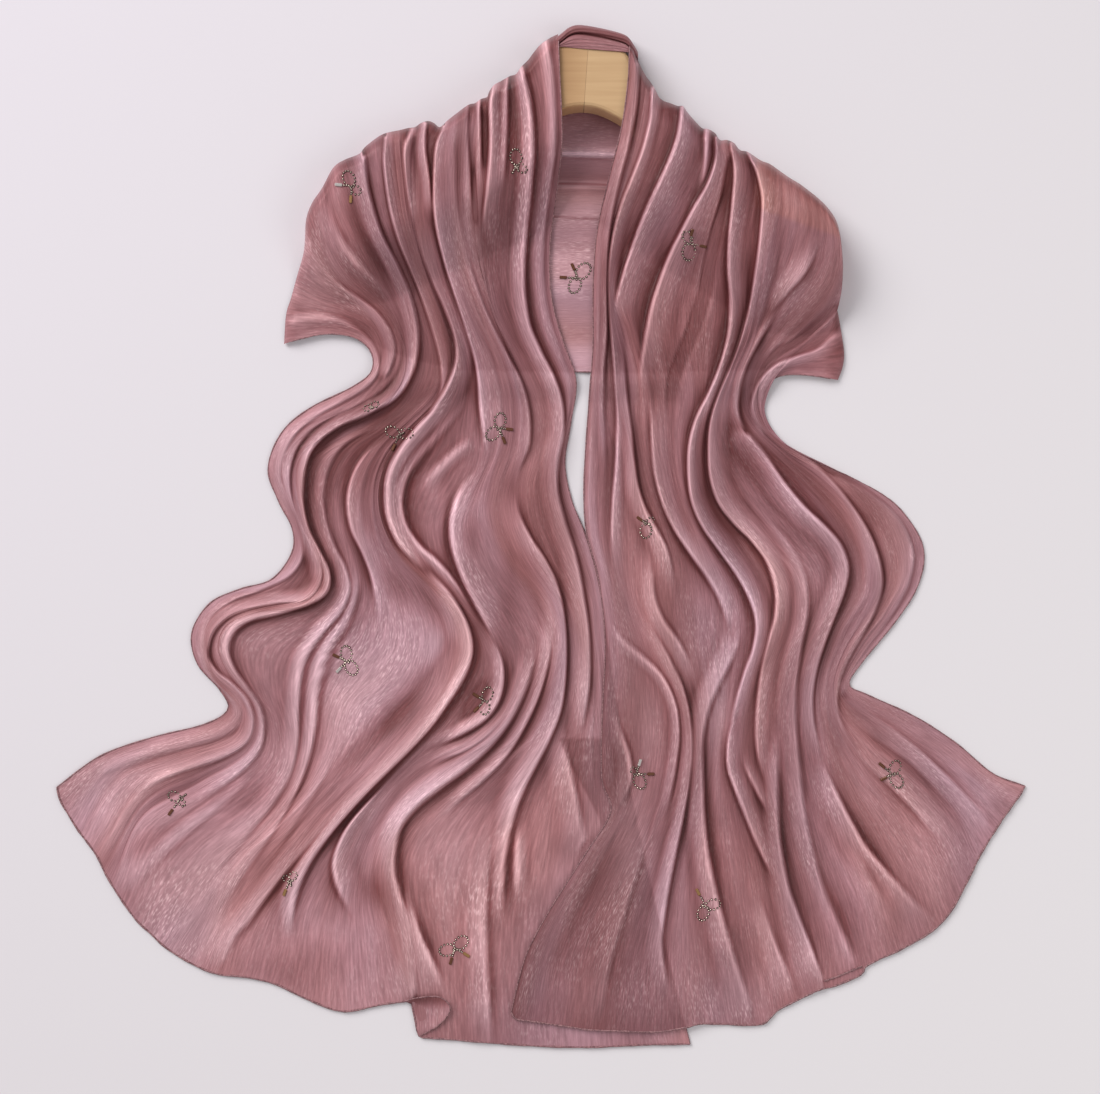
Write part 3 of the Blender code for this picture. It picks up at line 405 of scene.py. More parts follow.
RIGHT_CREASES = {
    "inner rim": ((4, 4, 3), (4, 4, 5), (6, 5, 7), (
        (632, 46), (631, 80), (626, 114), (619, 148), (611, 182), (603, 212), (598, 244),
        (597, 290), (597, 340), (595, 380), (592, 420), (590, 460), (589, 500), (592, 536),
        (600, 568), (604, 600), (608, 634), (609, 668), (606, 710), (604, 745), (605, 778))),
    "collar fold": ((7, 6, 3), (5, 5, 5), (5, 5, 6), (
        (637, 64), (636, 100), (629, 140), (619, 178), (611, 214), (607, 250), (606, 290),
        (606, 330), (603, 370), (602, 404), (604, 440), (604, 480))),
    "collar fold 2": ((7, 8, 4), (4, 5, 8), (7, 8, 8), (
        (653, 88), (651, 118), (643, 150), (632, 180), (622, 206), (614, 236), (610, 266),
        (610, 304), (613, 344), (616, 384), (618, 420), (617, 460), (614, 500), (613, 540),
        (618, 580))),
    "bright edge": ((9, 10, 4), (4, 4, 6), (18, 20, 16), (
        (682, 108), (678, 136), (668, 164), (656, 190), (645, 215), (635, 241), (626, 267),
        (619, 292), (615, 320), (617, 350))),
    "collar edge": ((3, 9, 5), (11, 11, 12), (5, 4, 7), (
        (619, 320), (622, 356), (625, 392), (630, 428), (633, 458), (637, 486), (645, 510),
        (656, 530), (666, 550), (671, 572), (674, 600))),
    "pleat top": ((6, 4, 0), (4, 4, 5), (5, 5, 6), (
        (706, 130), (706, 148), (705, 166), (701, 186), (694, 204))),
    "bright edge 2": ((10, 10, 7), (4, 4, 5), (16, 20, 18), (
        (717, 138), (716, 160), (708, 184), (695, 207), (682, 232), (670, 256), (660, 281),
        (652, 306), (646, 336), (642, 368), (641, 396))),
    "chest bulge": ((5, 9, 4), (7, 8, 12), (14, 14, 14), (
        (650, 386), (652, 416), (653, 446), (656, 474), (664, 504), (676, 530), (692, 554),
        (708, 576), (722, 600), (731, 626), (736, 652))),
    "slot": ((-3, -9, -3), (5, 7, 7), (6, 8, 9), (
        (729, 160), (722, 198), (713, 232), (706, 262), (701, 292), (692, 322), (681, 350),
        (671, 376), (667, 402), (672, 428))),
    "slot side": ((9, 12, 5), (5, 5, 8), (13, 13, 10), (
        (731, 144), (735, 172), (733, 204), (730, 236), (729, 268), (731, 300), (729, 332),
        (721, 364), (709, 394), (697, 418), (690, 444), (689, 474), (693, 502), (704, 527),
        (720, 550), (737, 574), (751, 600), (757, 624), (754, 648), (746, 672), (738, 698),
        (732, 726), (729, 752))),
    "side edge": ((9, 11, 4), (4, 4, 7), (14, 15, 11), (
        (748, 152), (758, 174), (763, 202), (761, 234), (757, 268), (751, 304), (742, 338),
        (731, 368), (719, 396), (711, 422), (709, 450), (711, 478), (719, 502), (734, 522),
        (752, 540), (768, 562), (776, 588), (776, 614), (769, 642), (762, 672), (758, 706),
        (757, 738), (762, 768), (773, 800))),
    "hip bright fold": ((3, 11, 6), (9, 7, 9), (9, 8, 9), (
        (786, 292), (771, 318), (757, 342), (745, 366), (738, 390), (737, 412), (744, 432),
        (757, 450))),
    "hip long line": ((6, 10, 4), (14, 13, 14), (10, 6, 9), (
        (748, 436), (766, 458), (784, 484), (804, 508), (824, 527), (840, 546), (847, 568),
        (843, 592), (833, 618), (823, 644), (815, 670), (811, 696), (812, 722), (818, 748),
        (826, 772))),
    "flare pleat edge": ((6, 6, 2), (16, 18, 22), (5, 5, 8), (
        (818, 748), (827, 774), (838, 798), (850, 821), (864, 845), (882, 868), (905, 894),
        (928, 918))),
    "sleeve light": ((0, 6, 3), (12, 12, 10), (8, 8, 8), (
        (822, 230), (814, 252), (802, 274), (786, 292), (772, 310), (762, 330))),
    "sleeve flap": ((3, 5, 3), (7, 7, 6), (8, 8, 8), (
        (836, 334), (818, 350), (796, 358), (776, 366), (762, 380), (754, 398), (753, 414),
        (760, 430))),
    "sleeve furrow": ((-3, -4, -1), (5, 5, 5), (5, 5, 5), (
        (836, 309), (820, 325), (800, 342), (780, 353), (764, 366), (752, 386))),
    "outer line": ((2, 7, 3), (11, 11, 10), (9, 8, 8), (
        (764, 428), (784, 442), (808, 460), (832, 483), (852, 508), (868, 534), (878, 560),
        (881, 584), (875, 608), (861, 635), (847, 660), (838, 684), (836, 706), (842, 728),
        (854, 752))),
    "outer roll": ((2, 5, 2), (13, 13, 10), (8, 8, 8), (
        (838, 478), (868, 494), (892, 513), (906, 534), (912, 556), (908, 582), (897, 604),
        (882, 626), (866, 648), (852, 670), (845, 688))),
    "centre line": ((2, 6, 3), (6, 6, 6), (6, 6, 7), (
        (606, 620), (622, 640), (642, 657), (661, 676), (674, 702), (678, 732), (675, 764),
        (669, 796), (660, 832))),
    "centre line 2": ((3, 8, 4), (8, 8, 10), (7, 7, 10), (
        (640, 606), (652, 630), (668, 658), (682, 688), (689, 716), (691, 748), (688, 784),
        (682, 818), (673, 860), (665, 902), (660, 944), (664, 978), (672, 1008))),
    "motif fold": ((2, 5, 2), (8, 9, 9), (9, 9, 10), (
        (646, 536), (650, 566), (653, 596), (662, 620), (678, 644), (690, 670), (696, 700))),
    "bright broad fold": ((4, 10, 4), (11, 12, 14), (10, 11, 12), (
        (738, 610), (738, 634), (731, 656), (718, 682), (707, 708), (701, 738), (701, 774),
        (702, 810), (706, 850), (714, 892), (725, 934), (737, 974), (748, 1008))),
    "dark side edge": ((3, 8, 3), (4, 4, 9), (11, 12, 14), (
        (745, 690), (735, 716), (729, 742), (729, 768), (737, 792), (748, 820), (760, 848),
        (774, 876), (788, 906))),
    "middle pleat": ((2, 5, 1), (5, 5, 7), (8, 8, 9), (
        (741, 740), (745, 764), (756, 788), (768, 812), (778, 836))),
    "pleat line": ((4, 8, 6), (5, 10, 22), (18, 12, 4), (
        (775, 712), (775, 752), (775, 796), (778, 842), (786, 884), (797, 916), (810, 948),
        (822, 980))),
    "sparkle fold": ((2, 6, 3), (14, 13, 13), (12, 12, 14), (
        (748, 496), (770, 524), (791, 552), (803, 580), (805, 612), (799, 648), (794, 688),
        (794, 730), (798, 772), (802, 812), (810, 852), (822, 892), (838, 930), (852, 962))),
    "flare fold": ((1, 3.5, 2), (12, 14, 14), (8, 9, 12), (
        (850, 702), (880, 722), (914, 748), (948, 780), (984, 818))),
    "flare fold 2": ((1, 3.5, 2), (10, 10, 14), (10, 14, 16), (
        (846, 738), (868, 762), (898, 790), (928, 822), (958, 856))),
    "flare furrow": ((-2, -2.5, 0), (5, 5, 8), (5, 6, 8), (
        (844, 712), (872, 738), (908, 764), (940, 796), (974, 832))),
    "lap rim": ((3, 5, 3), (4, 4, 5), (14, 18, 20), (
        (612, 812), (604, 826), (586, 854), (566, 886), (549, 914), (538, 934), (528, 958),
        (522, 986), (516, 1010))),
    "lap curl": ((1, 5, 2), (10, 10, 9), (4, 5, 8), (
        (612, 690), (618, 726), (628, 754), (630, 778), (622, 800), (606, 824))),
    "lap fold": ((2, 4, 2), (14, 15, 16), (10, 12, 14), (
        (652, 800), (644, 836), (634, 874), (620, 920), (606, 968), (598, 1016))),
    "hem fold": ((1, 4, 3), (12, 14, 16), (9, 10, 12), (
        (752, 880), (764, 916), (776, 950), (790, 984))),
    "outer hem fold": ((1, 3, 3), (14, 16, 18), (12, 14, 16), (
        (838, 820), (856, 856), (876, 892), (898, 930))),
}


def smooth(low, high, value):
    """A soft step from 0 at low to 1 at high."""
    part = np.clip((value - low) / (high - low), 0.0, 1.0)
    return part * part * (3.0 - 2.0 * part)


def quarter(part):
    """The height of a quarter circle, from 0 to 1."""
    part = np.clip(part, 0.0, 1.0)
    return np.sqrt(np.maximum(1.0 - (1.0 - part) ** 2, 0.0))


def place(across, down, height):
    """Pixels of the view and heights, as places in metres."""
    shrink = 1.0 - height / EYE_HEIGHT
    x = EYE_AT[0] + (across - EYE_AT[0]) * shrink
    y = EYE_AT[1] + (down - EYE_AT[1]) * shrink
    return np.stack([(x - FOOTPRINT_MID[0]) * PIXEL, (FOOTPRINT_MID[1] - y) * PIXEL, height], -1)


def curve_part(before, start, end, after, t):
    """Points of the smooth curve from start to end."""
    return 0.5 * (2 * start + (end - before) * t
                  + (2 * before - 5 * start + 4 * end - after) * t ** 2
                  + (3 * start - before - 3 * end + after) * t ** 3)


class Route:
    """A smooth line through points, sampled by the share of its length."""

    def __init__(self, points, steps=14):
        knots = np.array(points, dtype=float)
        first = 2 * knots[0] - knots[1]
        last = 2 * knots[-1] - knots[-2]
        knots = np.vstack([first, knots, last])
        t = (np.arange(steps) / steps)[:, None]
        spans = [curve_part(*four, t) for four in zip(knots, knots[1:], knots[2:], knots[3:])]
        self.line = np.vstack(spans + [knots[-2][None]])
        lengths = np.linalg.norm(np.diff(self.line, axis=0), axis=1)
        self.marks = np.concatenate([[0.0], np.cumsum(lengths)])
        self.length = self.marks[-1]

    def at(self, part):
        """The points a part of the way along."""
        aim = np.clip(part, 0.0, 1.0) * self.length
        return np.stack([np.interp(aim, self.marks, self.line[:, axis]) for axis in (0, 1)], -1)

    def across_at(self, down):
        """How far across the line is at each level."""
        return np.interp(down, np.maximum.accumulate(self.line[:, 1]), self.line[:, 0])

    def down_at(self, across):
        """How far down the line is at each place across."""
        return np.interp(across, np.maximum.accumulate(self.line[:, 0]), self.line[:, 1])

    def share_of(self, point):
        """The share of the length at which the line comes nearest to a point."""
        away = np.linalg.norm(self.line - np.array(point), axis=1)
        return self.marks[int(np.argmin(away))] / self.length


BATCH = 8000
LEAST_STEPS = 8


def beside(spots, route, reach, step=1.6):
    """For points near a route: which they are, how far aside (east is above nought) and
    the share of the way along."""
    count = max(int(route.length / step), LEAST_STEPS)
    line = route.at(np.linspace(0.0, 1.0, count + 1))
    ahead = np.gradient(line, axis=0)
    ahead /= np.linalg.norm(ahead, axis=1)[:, None]
    low, high = line.min(axis=0) - reach, line.max(axis=0) + reach
    flat = spots.reshape(-1, 2)
    chosen = np.flatnonzero(np.all((flat > low) & (flat < high), axis=1))
    aside = np.empty(len(chosen))
    share = np.empty(len(chosen))
    weight = (line ** 2).sum(axis=1)
    for start in range(0, len(chosen), BATCH):
        batch = slice(start, start + BATCH)
        part = flat[chosen[batch]]
        nearest = np.argmin(weight[None] - 2.0 * part @ line.T, axis=1)
        gap = part - line[nearest]
        along = (gap * ahead[nearest]).sum(axis=1)
        cross = ahead[nearest, 1] * gap[:, 0] - ahead[nearest, 0] * gap[:, 1]
        at_end = (nearest == 0) | (nearest == count)
        past = np.where(at_end & (np.abs(along) > step), np.abs(along), 0.0)
        aside[batch] = np.copysign(np.hypot(cross, past), cross)
        share[batch] = (nearest + np.clip(along / step, -0.5, 0.5)) / count
    return chosen, aside, np.clip(share, 0.0, 1.0)


def blend(three, share):
    """A value that goes softly from start to middle to end."""
    start, middle, end = three
    return (start + (middle - start) * smooth(0.0, 0.5, share)
            + (end - middle) * smooth(0.5, 1.0, share))


# The form of a single fold: how its crest rounds, how its soft side widens and its edge
# narrows, and how its ends fade. Widths and runs are in pixels.
CREST_POWER = 3
CREST_ROUND = 0.35
CREST_SCALE = 0.80
CREST_MARGIN = 2.0
SOFT_SPREAD = 1.1
SOFT_SHARE = 0.25
EDGE_SHARP = 0.45
EDGE_LEAST = 3.2
EDGE_MARGIN = 2.0
EDGE_NEAR = 18.0
FADE_RUN = 60.0
FADE_MOST = 0.4

# The painted highlight line on the edge of a fold and the painted shade at its foot: places
# and widths in pixels, the height in mm at which both are full, and how they swell along
# the fold
EDGE_FULL = 6.0
LINE_AT = 0.9
LINE_WIDE = 1.1
LINE_MEAN = 0.62
LINE_SWING = 0.38
LINE_BEAT = 11.0
LINE_SHIFT = 2.1
FOOT_WIDE = 2.0
FOOT_NEAR = 0.45
FOOT_FAR = 0.55
SHADE_RUN = 9.0
SHADE_REACH = 26.0


def flap_widths(west, east):
    """The widths of the two sides of a fold: one slopes away and the other is an edge."""
    if sum(west) < sum(east) - EDGE_MARGIN:
        return flap_widths(east, west)[::-1]
    slope = tuple(SOFT_SPREAD * width + SOFT_SHARE * (width + edge)
                  for width, edge in zip(west, east))
    return slope, tuple(max(width * EDGE_SHARP, EDGE_LEAST) for width in east)


def end_fades(route, outline):
    """Whether a fold fades out at its start and its end, being away from the outline."""
    away = [np.linalg.norm(outline - route.line[end], axis=1).min() for end in (0, -1)]
    return [gap > EDGE_NEAR for gap in away]


def crest_height(route, heights, width, aside, share, outline):
    """The height of one fold at the points beside it, in metres."""
    away = np.minimum(np.abs(aside) / width, 1.0)
    bell = CREST_ROUND * (1.0 - away ** 2) ** 2 + (1.0 - CREST_ROUND) * (1.0 - away)
    height = blend(heights, share) * bell * CREST_SCALE * MM
    run = min(FADE_RUN / route.length, FADE_MOST)
    fade_start, fade_end = end_fades(route, outline)
    if fade_start:
        height = height * smooth(0.0, run, share)
    if fade_end:
        height = height * (1.0 - smooth(1.0 - run, 1.0, share))
    return height


def edge_light_lines(route, heights, edge_width, toward, share, index):
    """The painted highlight line on the edge of one fold and the painted shade at its foot,
    from 0 to 1.
    """
    run = min(FADE_RUN / route.length, FADE_MOST)
    strength = np.clip(blend(heights, share) / EDGE_FULL, 0.0, 1.0)
    strength = strength * smooth(0.0, run, share) * (1.0 - smooth(1.0 - run, 1.0, share))
    strength = strength * (LINE_MEAN + LINE_SWING * np.sin(share * LINE_BEAT
                                                           + index * LINE_SHIFT))
    past = toward - edge_width
    line = np.exp(-((toward - LINE_AT) / LINE_WIDE) ** 2)
    near, far = np.exp(-past / FOOT_WIDE), np.exp(-past / SHADE_RUN)
    foot = np.where(past < 0.0, np.exp(-(past / FOOT_WIDE) ** 2),
                    FOOT_NEAR * near + FOOT_FAR * far)
    return line * strength, foot * strength


def crease_relief(spots, creases, outline):
    """The height of all the single folds at each point, in metres, with the painted highlight
    line on the edge of each fold and the painted shade at its foot, from 0 to 1."""
    total = np.zeros(spots.shape[0] * spots.shape[1])
    furrows = np.zeros_like(total)
    bright = np.zeros_like(total)
    shade = np.zeros_like(total)
    for index, (heights, west, east, points) in enumerate(creases.values()):
        route = Route(points)
        west, east = flap_widths(west, east)
        reach = max(max(west + east) + CREST_MARGIN, min(west[1], east[1]) + SHADE_REACH)
        chosen, aside, share = beside(spots, route, reach)
        west_width, east_width = blend(west, share), blend(east, share)
        width = np.where(aside < 0.0, west_width, east_width)
        height = crest_height(route, heights, width, aside, share, outline)
        total[chosen] += np.maximum(height, 0.0) ** CREST_POWER
        furrows[chosen] += np.minimum(height, 0.0)
        toward = aside if east[1] < west[1] else -aside
        line, foot = edge_light_lines(route, heights, np.minimum(west_width, east_width), toward,
                                share, index)
        bright[chosen] = np.maximum(bright[chosen], line)
        shade[chosen] = np.maximum(shade[chosen], foot)
    relief = total ** (1.0 / CREST_POWER) + furrows
    return [field.reshape(spots.shape[:-1]) for field in (relief, bright, shade)]


def hanger_line(side):
    """The centre line of one arm of the hanger, in pixels of the view."""
    turn_cos, turn_sin = math.cos(HANGER_TURN), math.sin(HANGER_TURN)
    across = np.array([side * row[0] for row in ARM_LINE])
    down = np.array([row[1] for row in ARM_LINE])
    return np.stack([HANGER_MID[0] + across * turn_cos - down * turn_sin,
                     HANGER_MID[1] + across * turn_sin + down * turn_cos], -1)


def arm_distance(spots):
    """How far points lie from the centre line of the hanger, in metres."""
    nearest = np.full(spots.shape[:-1], 1e9)
    for side in (-1, 1):
        line = hanger_line(side)
        for start, end in zip(line, line[1:]):
            run = end - start
            share = np.clip(((spots - start) @ run) / (run @ run), 0.0, 1.0)
            away = np.linalg.norm(spots - start - share[..., None] * run, axis=-1)
            nearest = np.minimum(nearest, away)
    return nearest * PIXEL


HEM_BEHIND = Route(BACK_HEM)
LEFT_INNER = Route(list(LEFT_GUIDES.values())[-1])
RIGHT_INNER = Route(list(RIGHT_GUIDES.values())[0])

# Spans in pixels over which one thing goes over into another: the two sides of the neck,
# the end of the back stretch, the side and top of the left front's lap under the right
# one, and the side and top of what the right front covers
NECK_LEFT = (500.0, 522.0)
NECK_RIGHT = (640.0, 662.0)
BACK_END = (380.0, 404.0)
LAP_SIDE = (6.0, 34.0)
LAP_TOP = (480.0, 515.0)
COVERED_SIDE = (-30.0, -6.0)
COVERED_TOP = (500.0, 540.0)


def tent(spots):
    """The lift of the cloth where it lies over the hanger and falls away from it."""
    fall = smooth(ARM_REACH, ARM_REACH + TENT_RUN, arm_distance(spots))
    return (HANGER_TOP + TENT_CLEAR) * (1.0 - fall)


def near_neck(spots, wider):
    """One at the neck of the hanger, where the turn is a steep wall."""
    across = spots[..., 0]
    from_left = smooth(NECK_LEFT[0] - wider, NECK_LEFT[1] - wider, across)
    return from_left * (1.0 - smooth(NECK_RIGHT[0] + wider, NECK_RIGHT[1] + wider, across))


def seam(spots, wider=0.0):
    """The level where a front meets the back stretch at its turn, low at the neck."""
    middle = 0.5 * np.maximum(tent(spots), WALL + GAP + SLEEVE_PUFF)
    return middle + (WALL + GAP - middle) * near_neck(spots, wider)


def on_back(spots):
    """One where a front lies on the back stretch, and nought past its hem."""
    return 1.0 - smooth(*BACK_END, spots[..., 1])


def left_rest(spots):
    """The level of what lies under the left front."""
    return (WALL + GAP) * on_back(spots)


def right_rest(spots):
    """The level of what lies under the right front, the left front among it."""
    inside = spots[..., 0] - LEFT_INNER.across_at(spots[..., 1])
    lap = (1.0 - smooth(*LAP_SIDE, inside)) * smooth(*LAP_TOP, spots[..., 1])
    return np.maximum((WALL + GAP) * on_back(spots), (WALL + PRESSED + GAP) * lap)


def left_limit(spots):
    """The most that a fold of the left front stands up where the right front covers it."""
    covered = spots[..., 0] - RIGHT_INNER.across_at(spots[..., 1])
    pressed = smooth(*COVERED_SIDE, covered) * smooth(*COVERED_TOP, spots[..., 1])
    return TALLEST + (PRESSED - TALLEST) * pressed


def right_limit(spots):
    """The most that a fold of the right front stands up, the same everywhere."""
    return np.full(spots.shape[:-1], TALLEST)


def soften(field, times):
    """A field with its small detail smoothed away along rows and columns."""
    for _ in range(times):
        padded = np.pad(field, ((1, 1), (0, 0)), mode="edge")
        field = 0.25 * padded[:-2] + 0.5 * field + 0.25 * padded[2:]
        padded = np.pad(field, ((0, 0), (1, 1)), mode="edge")
        field = 0.25 * padded[:, :-2] + 0.5 * field + 0.25 * padded[:, 2:]
    return field


# How the small folds wind and swell: sizes, and odd multiples of drift, wave and phase,
# so that no pattern repeats
WIND_WIDE = 1.9
WIND_SMALL = 0.8
WIND_SHIFT = 1.7
WIND_QUICK = 2.3
SWELL_MEAN = 0.45
SWELL_SWING = 0.75
SWELL_QUICK = 1.6
SWELL_ASIDE = 3.7


def ripple(across, along, rows):
    """Small uneven folds that run along the cloth, in metres."""
    total = np.zeros_like(across)
    for height, wave, drift, phase in rows:
        bend = (WIND_WIDE * np.sin(along / drift + phase * WIND_SHIFT)
                + WIND_SMALL * np.sin(along / drift * WIND_QUICK))
        swell = np.sin(along / drift * SWELL_QUICK + across / (wave * SWELL_ASIDE) + phase)
        swell = np.clip(SWELL_MEAN + SWELL_SWING * swell, 0.0, 1.0)
        total += height * MM * swell * np.sin(2 * math.pi * across / wave + bend + phase)
    return total


# The mean width and the length of a front in its map, in pixels, and what each gap
# between two guides counts more than its width when columns are shared out
MAP_WIDE = 380.0
MAP_LONG = 1000.0
GUIDE_MORE = 4.0


def guide_rows(guides):
    """The rows of a front's points in pixels, led by its guides and smooth across them."""
    routes = [Route(guide) for guide in guides]
    mean_length = np.mean([route.length for route in routes])
    turn = ROLL_RADIUS / PIXEL / mean_length
    lead = turn * (1.0 - np.cos(np.linspace(0.0, math.pi / 2, TURN_ROWS)))
    part = np.concatenate([lead[:-1], np.linspace(turn, 1.0, FRONT_ROWS + 2 - TURN_ROWS)])
    crests = np.stack([route.at(part) for route in routes], 1)
    spans = np.linalg.norm(np.diff(crests, axis=1), axis=2).mean(axis=0)
    marks = np.concatenate([[0.0], np.cumsum(spans + GUIDE_MORE)])
    guide_at = np.interp(np.linspace(0.0, marks[-1], FRONT_COLUMNS + 1), marks,
                         np.arange(len(guides)))
    padded = np.concatenate([2 * crests[:, :1] - crests[:, 1:2], crests,
                             2 * crests[:, -1:] - crests[:, -2:-1]], axis=1)
    index = np.minimum(guide_at.astype(int), len(guides) - 2)
    share = (guide_at - index)[None, :, None]
    spots = curve_part(padded[:, index], padded[:, index + 1], padded[:, index + 2],
                       padded[:, index + 3], share)
    return spots, part, guide_at, routes


def keep_outline(spots, guides, guide_at, outline, part, row, run):
    """Moves the points near one end of the rows onto the drawn outline there."""
    edge = Route(outline)
    shares = np.maximum.accumulate([edge.share_of(guide[row]) for guide in guides])
    shares[0], shares[-1] = 0.0, 1.0
    target = edge.at(np.interp(guide_at, np.arange(len(guides)), shares))
    away = np.abs(part - part[row]) * MAP_LONG
    return spots + (target - spots[row])[None] * (1.0 - smooth(0.0, run, away))[:, None, None]


# Where the left front shows through the right one: spans in pixels of its side and top,
# and of the levels and the places across at which it lies in pleats
SHOWN_SIDE = (-1.5, 2.5)
SHOWN_TOP = (560.0, 600.0)
PLEATED_DOWN = (690.0, 830.0)
PLEATED_ACROSS = (800.0, 860.0)
PLEATED_SHARE = 0.32


def under_right(spots):
    """One where the left front shows through the right front that laps over it."""
    across, down = spots[..., 0], spots[..., 1]
    inside = LEFT_INNER.across_at(down) - across
    lapped = smooth(*SHOWN_SIDE, inside) * smooth(*SHOWN_TOP, down)
    pleated = smooth(*PLEATED_DOWN, down) * (1.0 - smooth(*PLEATED_ACROSS, across))
    return np.maximum(lapped, PLEATED_SHARE * pleated)


# The turned-back layer under the left front: its corner, the lean and the bow of its
# side, and the spans in pixels over which it begins, bows and fades
TURNED_CORNER = (559.0, 738.0)
TURNED_LEAN = 0.35
TURNED_BOW = 12.0
TURNED_BOWS = (738.0, 830.0)
TURNED_SIDE = (-1.5, 2.0)
TURNED_TOP = (737.0, 740.0)
TURNED_FADES = (790.0, 860.0)
TURNED_SHARE = 0.8


def under_left(spots):
    """How much a turned-back layer shows through the left front."""
    across, down = spots[..., 0], spots[..., 1]
    side = TURNED_CORNER[0] + (down - TURNED_CORNER[1]) * TURNED_LEAN
    side = side + TURNED_BOW * smooth(*TURNED_BOWS, down)
    return (smooth(*TURNED_SIDE, across - side) * smooth(*TURNED_TOP, down)
            * (1.0 - smooth(*TURNED_FADES, down)) * TURNED_SHARE)


# Soft places of painted light on the cloth or, with a share below nought, of painted
# shade, with their middles and half widths in pixels
LIGHT_PLACES = (
    # across, down, wide, long, turn in degrees, share
    (335, 668, 48, 62, 0, 0.8),
    (195, 905, 34, 74, 30, 1.0),
    (105, 785, 55, 24, 0, 0.45),
    (308, 285, 40, 50, 15, 0.95),
    (452, 238, 22, 34, 0, 0.65),
    (488, 195, 20, 40, 10, 0.5),
    (624, 195, 22, 42, 0, 0.6),
    (632, 865, 24, 80, -8, 0.8),
    (714, 710, 14, 55, 10, 0.8),
    (652, 730, 14, 45, 0, 0.45),
    (578, 645, 14, 50, 0, 0.45),
    (438, 520, 12, 40, 0, 0.5),
    (800, 575, 28, 28, 0, 0.45),
    (792, 285, 18, 28, 15, 0.5),
    (800, 815, 14, 45, 0, 0.45),
    (897, 535, 22, 40, 0, 0.4),
    (372, 446, 29, 76, 43, -1.0),
    (785, 475, 26, 80, -57, -0.8),
    (405, 588, 18, 45, -63, -0.6),
    (400, 722, 16, 95, 44, -0.7),
    (368, 892, 30, 26, 0, -0.75),
    (305, 965, 62, 30, 0, -0.6),
    (225, 795, 75, 20, 0, -0.5),
    (842, 928, 24, 55, -25, -0.8),
    (868, 862, 14, 50, -32, -0.6),
    (683, 350, 16, 55, 8, -0.5),
    (480, 975, 16, 45, 0, -0.5),
    (515, 510, 26, 75, 0, -0.5),
    (528, 228, 14, 45, 5, 0.5),
    (672, 225, 14, 40, 0, 0.45),
    (440, 645, 14, 26, 20, 0.8),
    (410, 820, 14, 40, 38, 0.45),
    (455, 880, 16, 50, 8, 0.4),
    (408, 985, 18, 20, 0, 0.5),
    (468, 535, 14, 28, 0, -0.7),
    (622, 455, 16, 36, 20, -0.45),
    (738, 350, 14, 40, 15, -0.5),
    (820, 340, 30, 22, 0, -0.45),
    (262, 872, 14, 75, 32, -0.5),
    (325, 615, 30, 16, -10, -0.45),
    (283, 472, 12, 50, 0, 0.7),
    (352, 212, 14, 28, 0, -0.5),
    (730, 1005, 26, 26, 0, 0.6),
    (680, 655, 18, 32, -20, 0.5),
    (813, 692, 12, 40, 5, 0.5),
    (140, 845, 12, 50, 58, -0.45),
    (505, 838, 12, 45, 0, -0.45),
    (240, 635, 42, 18, -5, 0.45),
    (318, 858, 12, 32, 38, 0.45),
    (355, 328, 28, 12, 0, -0.4),
)


def cos_sin(degrees):
    """The cosine and the sine of an angle in degrees."""
    return math.cos(math.radians(degrees)), math.sin(math.radians(degrees))


def light_places(spots):
    """How much painted light lies on the cloth, and below nought how much painted shade,
    from -1 to 1: lighter where it lies thin and flat, and darker where it is bunched."""
    total = np.zeros(spots.shape[:-1])
    for across, down, wide, long, turn, share in LIGHT_PLACES:
        aside, ahead = spots[..., 0] - across, spots[..., 1] - down
        turn_cos, turn_sin = cos_sin(turn)
        first = (aside * turn_cos + ahead * turn_sin) / wide
        second = (ahead * turn_cos - aside * turn_sin) / long
        total += share * np.exp(-first ** 2 - second ** 2)
    return np.clip(total, -1.0, 1.0)


# Where the end of the hanger's arm shows: its near corner on the lower side in pixels, the
# slope of that side, and the spans over which the wood's tint begins and ends
ARM_CORNER = (757.0, 207.0)
ARM_SLOPE = 0.36
ARM_SIDE = (-5.0, 3.0)
ARM_LOWER = (-3.0, 4.0)


def over_wood(spots):
    """One where the end of the hanger's arm shows through a single layer of the cloth."""
    past = spots[..., 0] - ARM_CORNER[0]
    below = spots[..., 1] - ARM_CORNER[1] - past * ARM_SLOPE
    return smooth(*ARM_SIDE, past) * (1.0 - smooth(*ARM_LOWER, below))


def sheet_runs(spots):
    """For points of a front: how far they are from its nearer side, from its turn and from
    its hem, and how wide its row is, in pixels along the cloth."""
    step = np.linalg.norm(np.diff(spots, axis=1), axis=2)
    from_first = np.concatenate([np.zeros((len(spots), 1)), np.cumsum(step, axis=1)], axis=1)
    to_side = np.minimum(from_first, from_first[:, -1:] - from_first)
    down = np.linalg.norm(np.diff(spots, axis=0), axis=2)
    from_turn = np.concatenate([np.zeros((1, spots.shape[1])), np.cumsum(down, axis=0)])
    row_width = np.broadcast_to(from_first[:, -1:], from_first.shape)
    return to_side, from_turn, from_turn[-1:] - from_turn, row_width


# Painted shade in the troughs of the folds and painted highlight on their crests, by depth:
# times of smoothing, the height that goes from middle to full tone, and the shares of the
# painted shade at the foot of each fold, of the painted light places and of the painted
# shade at the turn over the shoulder
BARE_TIMES = 80
DEPTH_HEIGHT = 5.0 * MM
SHADE_DEPTH = 0.26
LIGHT_DEPTH = 0.46
TURN_DEPTH = 0.26
TURN_DARK = (2.0, 24.0)


def fold_shade_tone(wave, shade, light, from_turn):
    """Painted shade and highlight by how deep the cloth lies in its folds, from 0, lit, on a
    crest to 1, shaded, in a trough.
    """
    bare = soften(wave, BARE_TIMES)
    depth = (0.5 + (bare - wave) / DEPTH_HEIGHT + SHADE_DEPTH * shade
             - LIGHT_DEPTH * light + TURN_DEPTH * (1.0 - smooth(*TURN_DARK, from_turn)))
    return np.clip(depth, 0.0, 1.0)
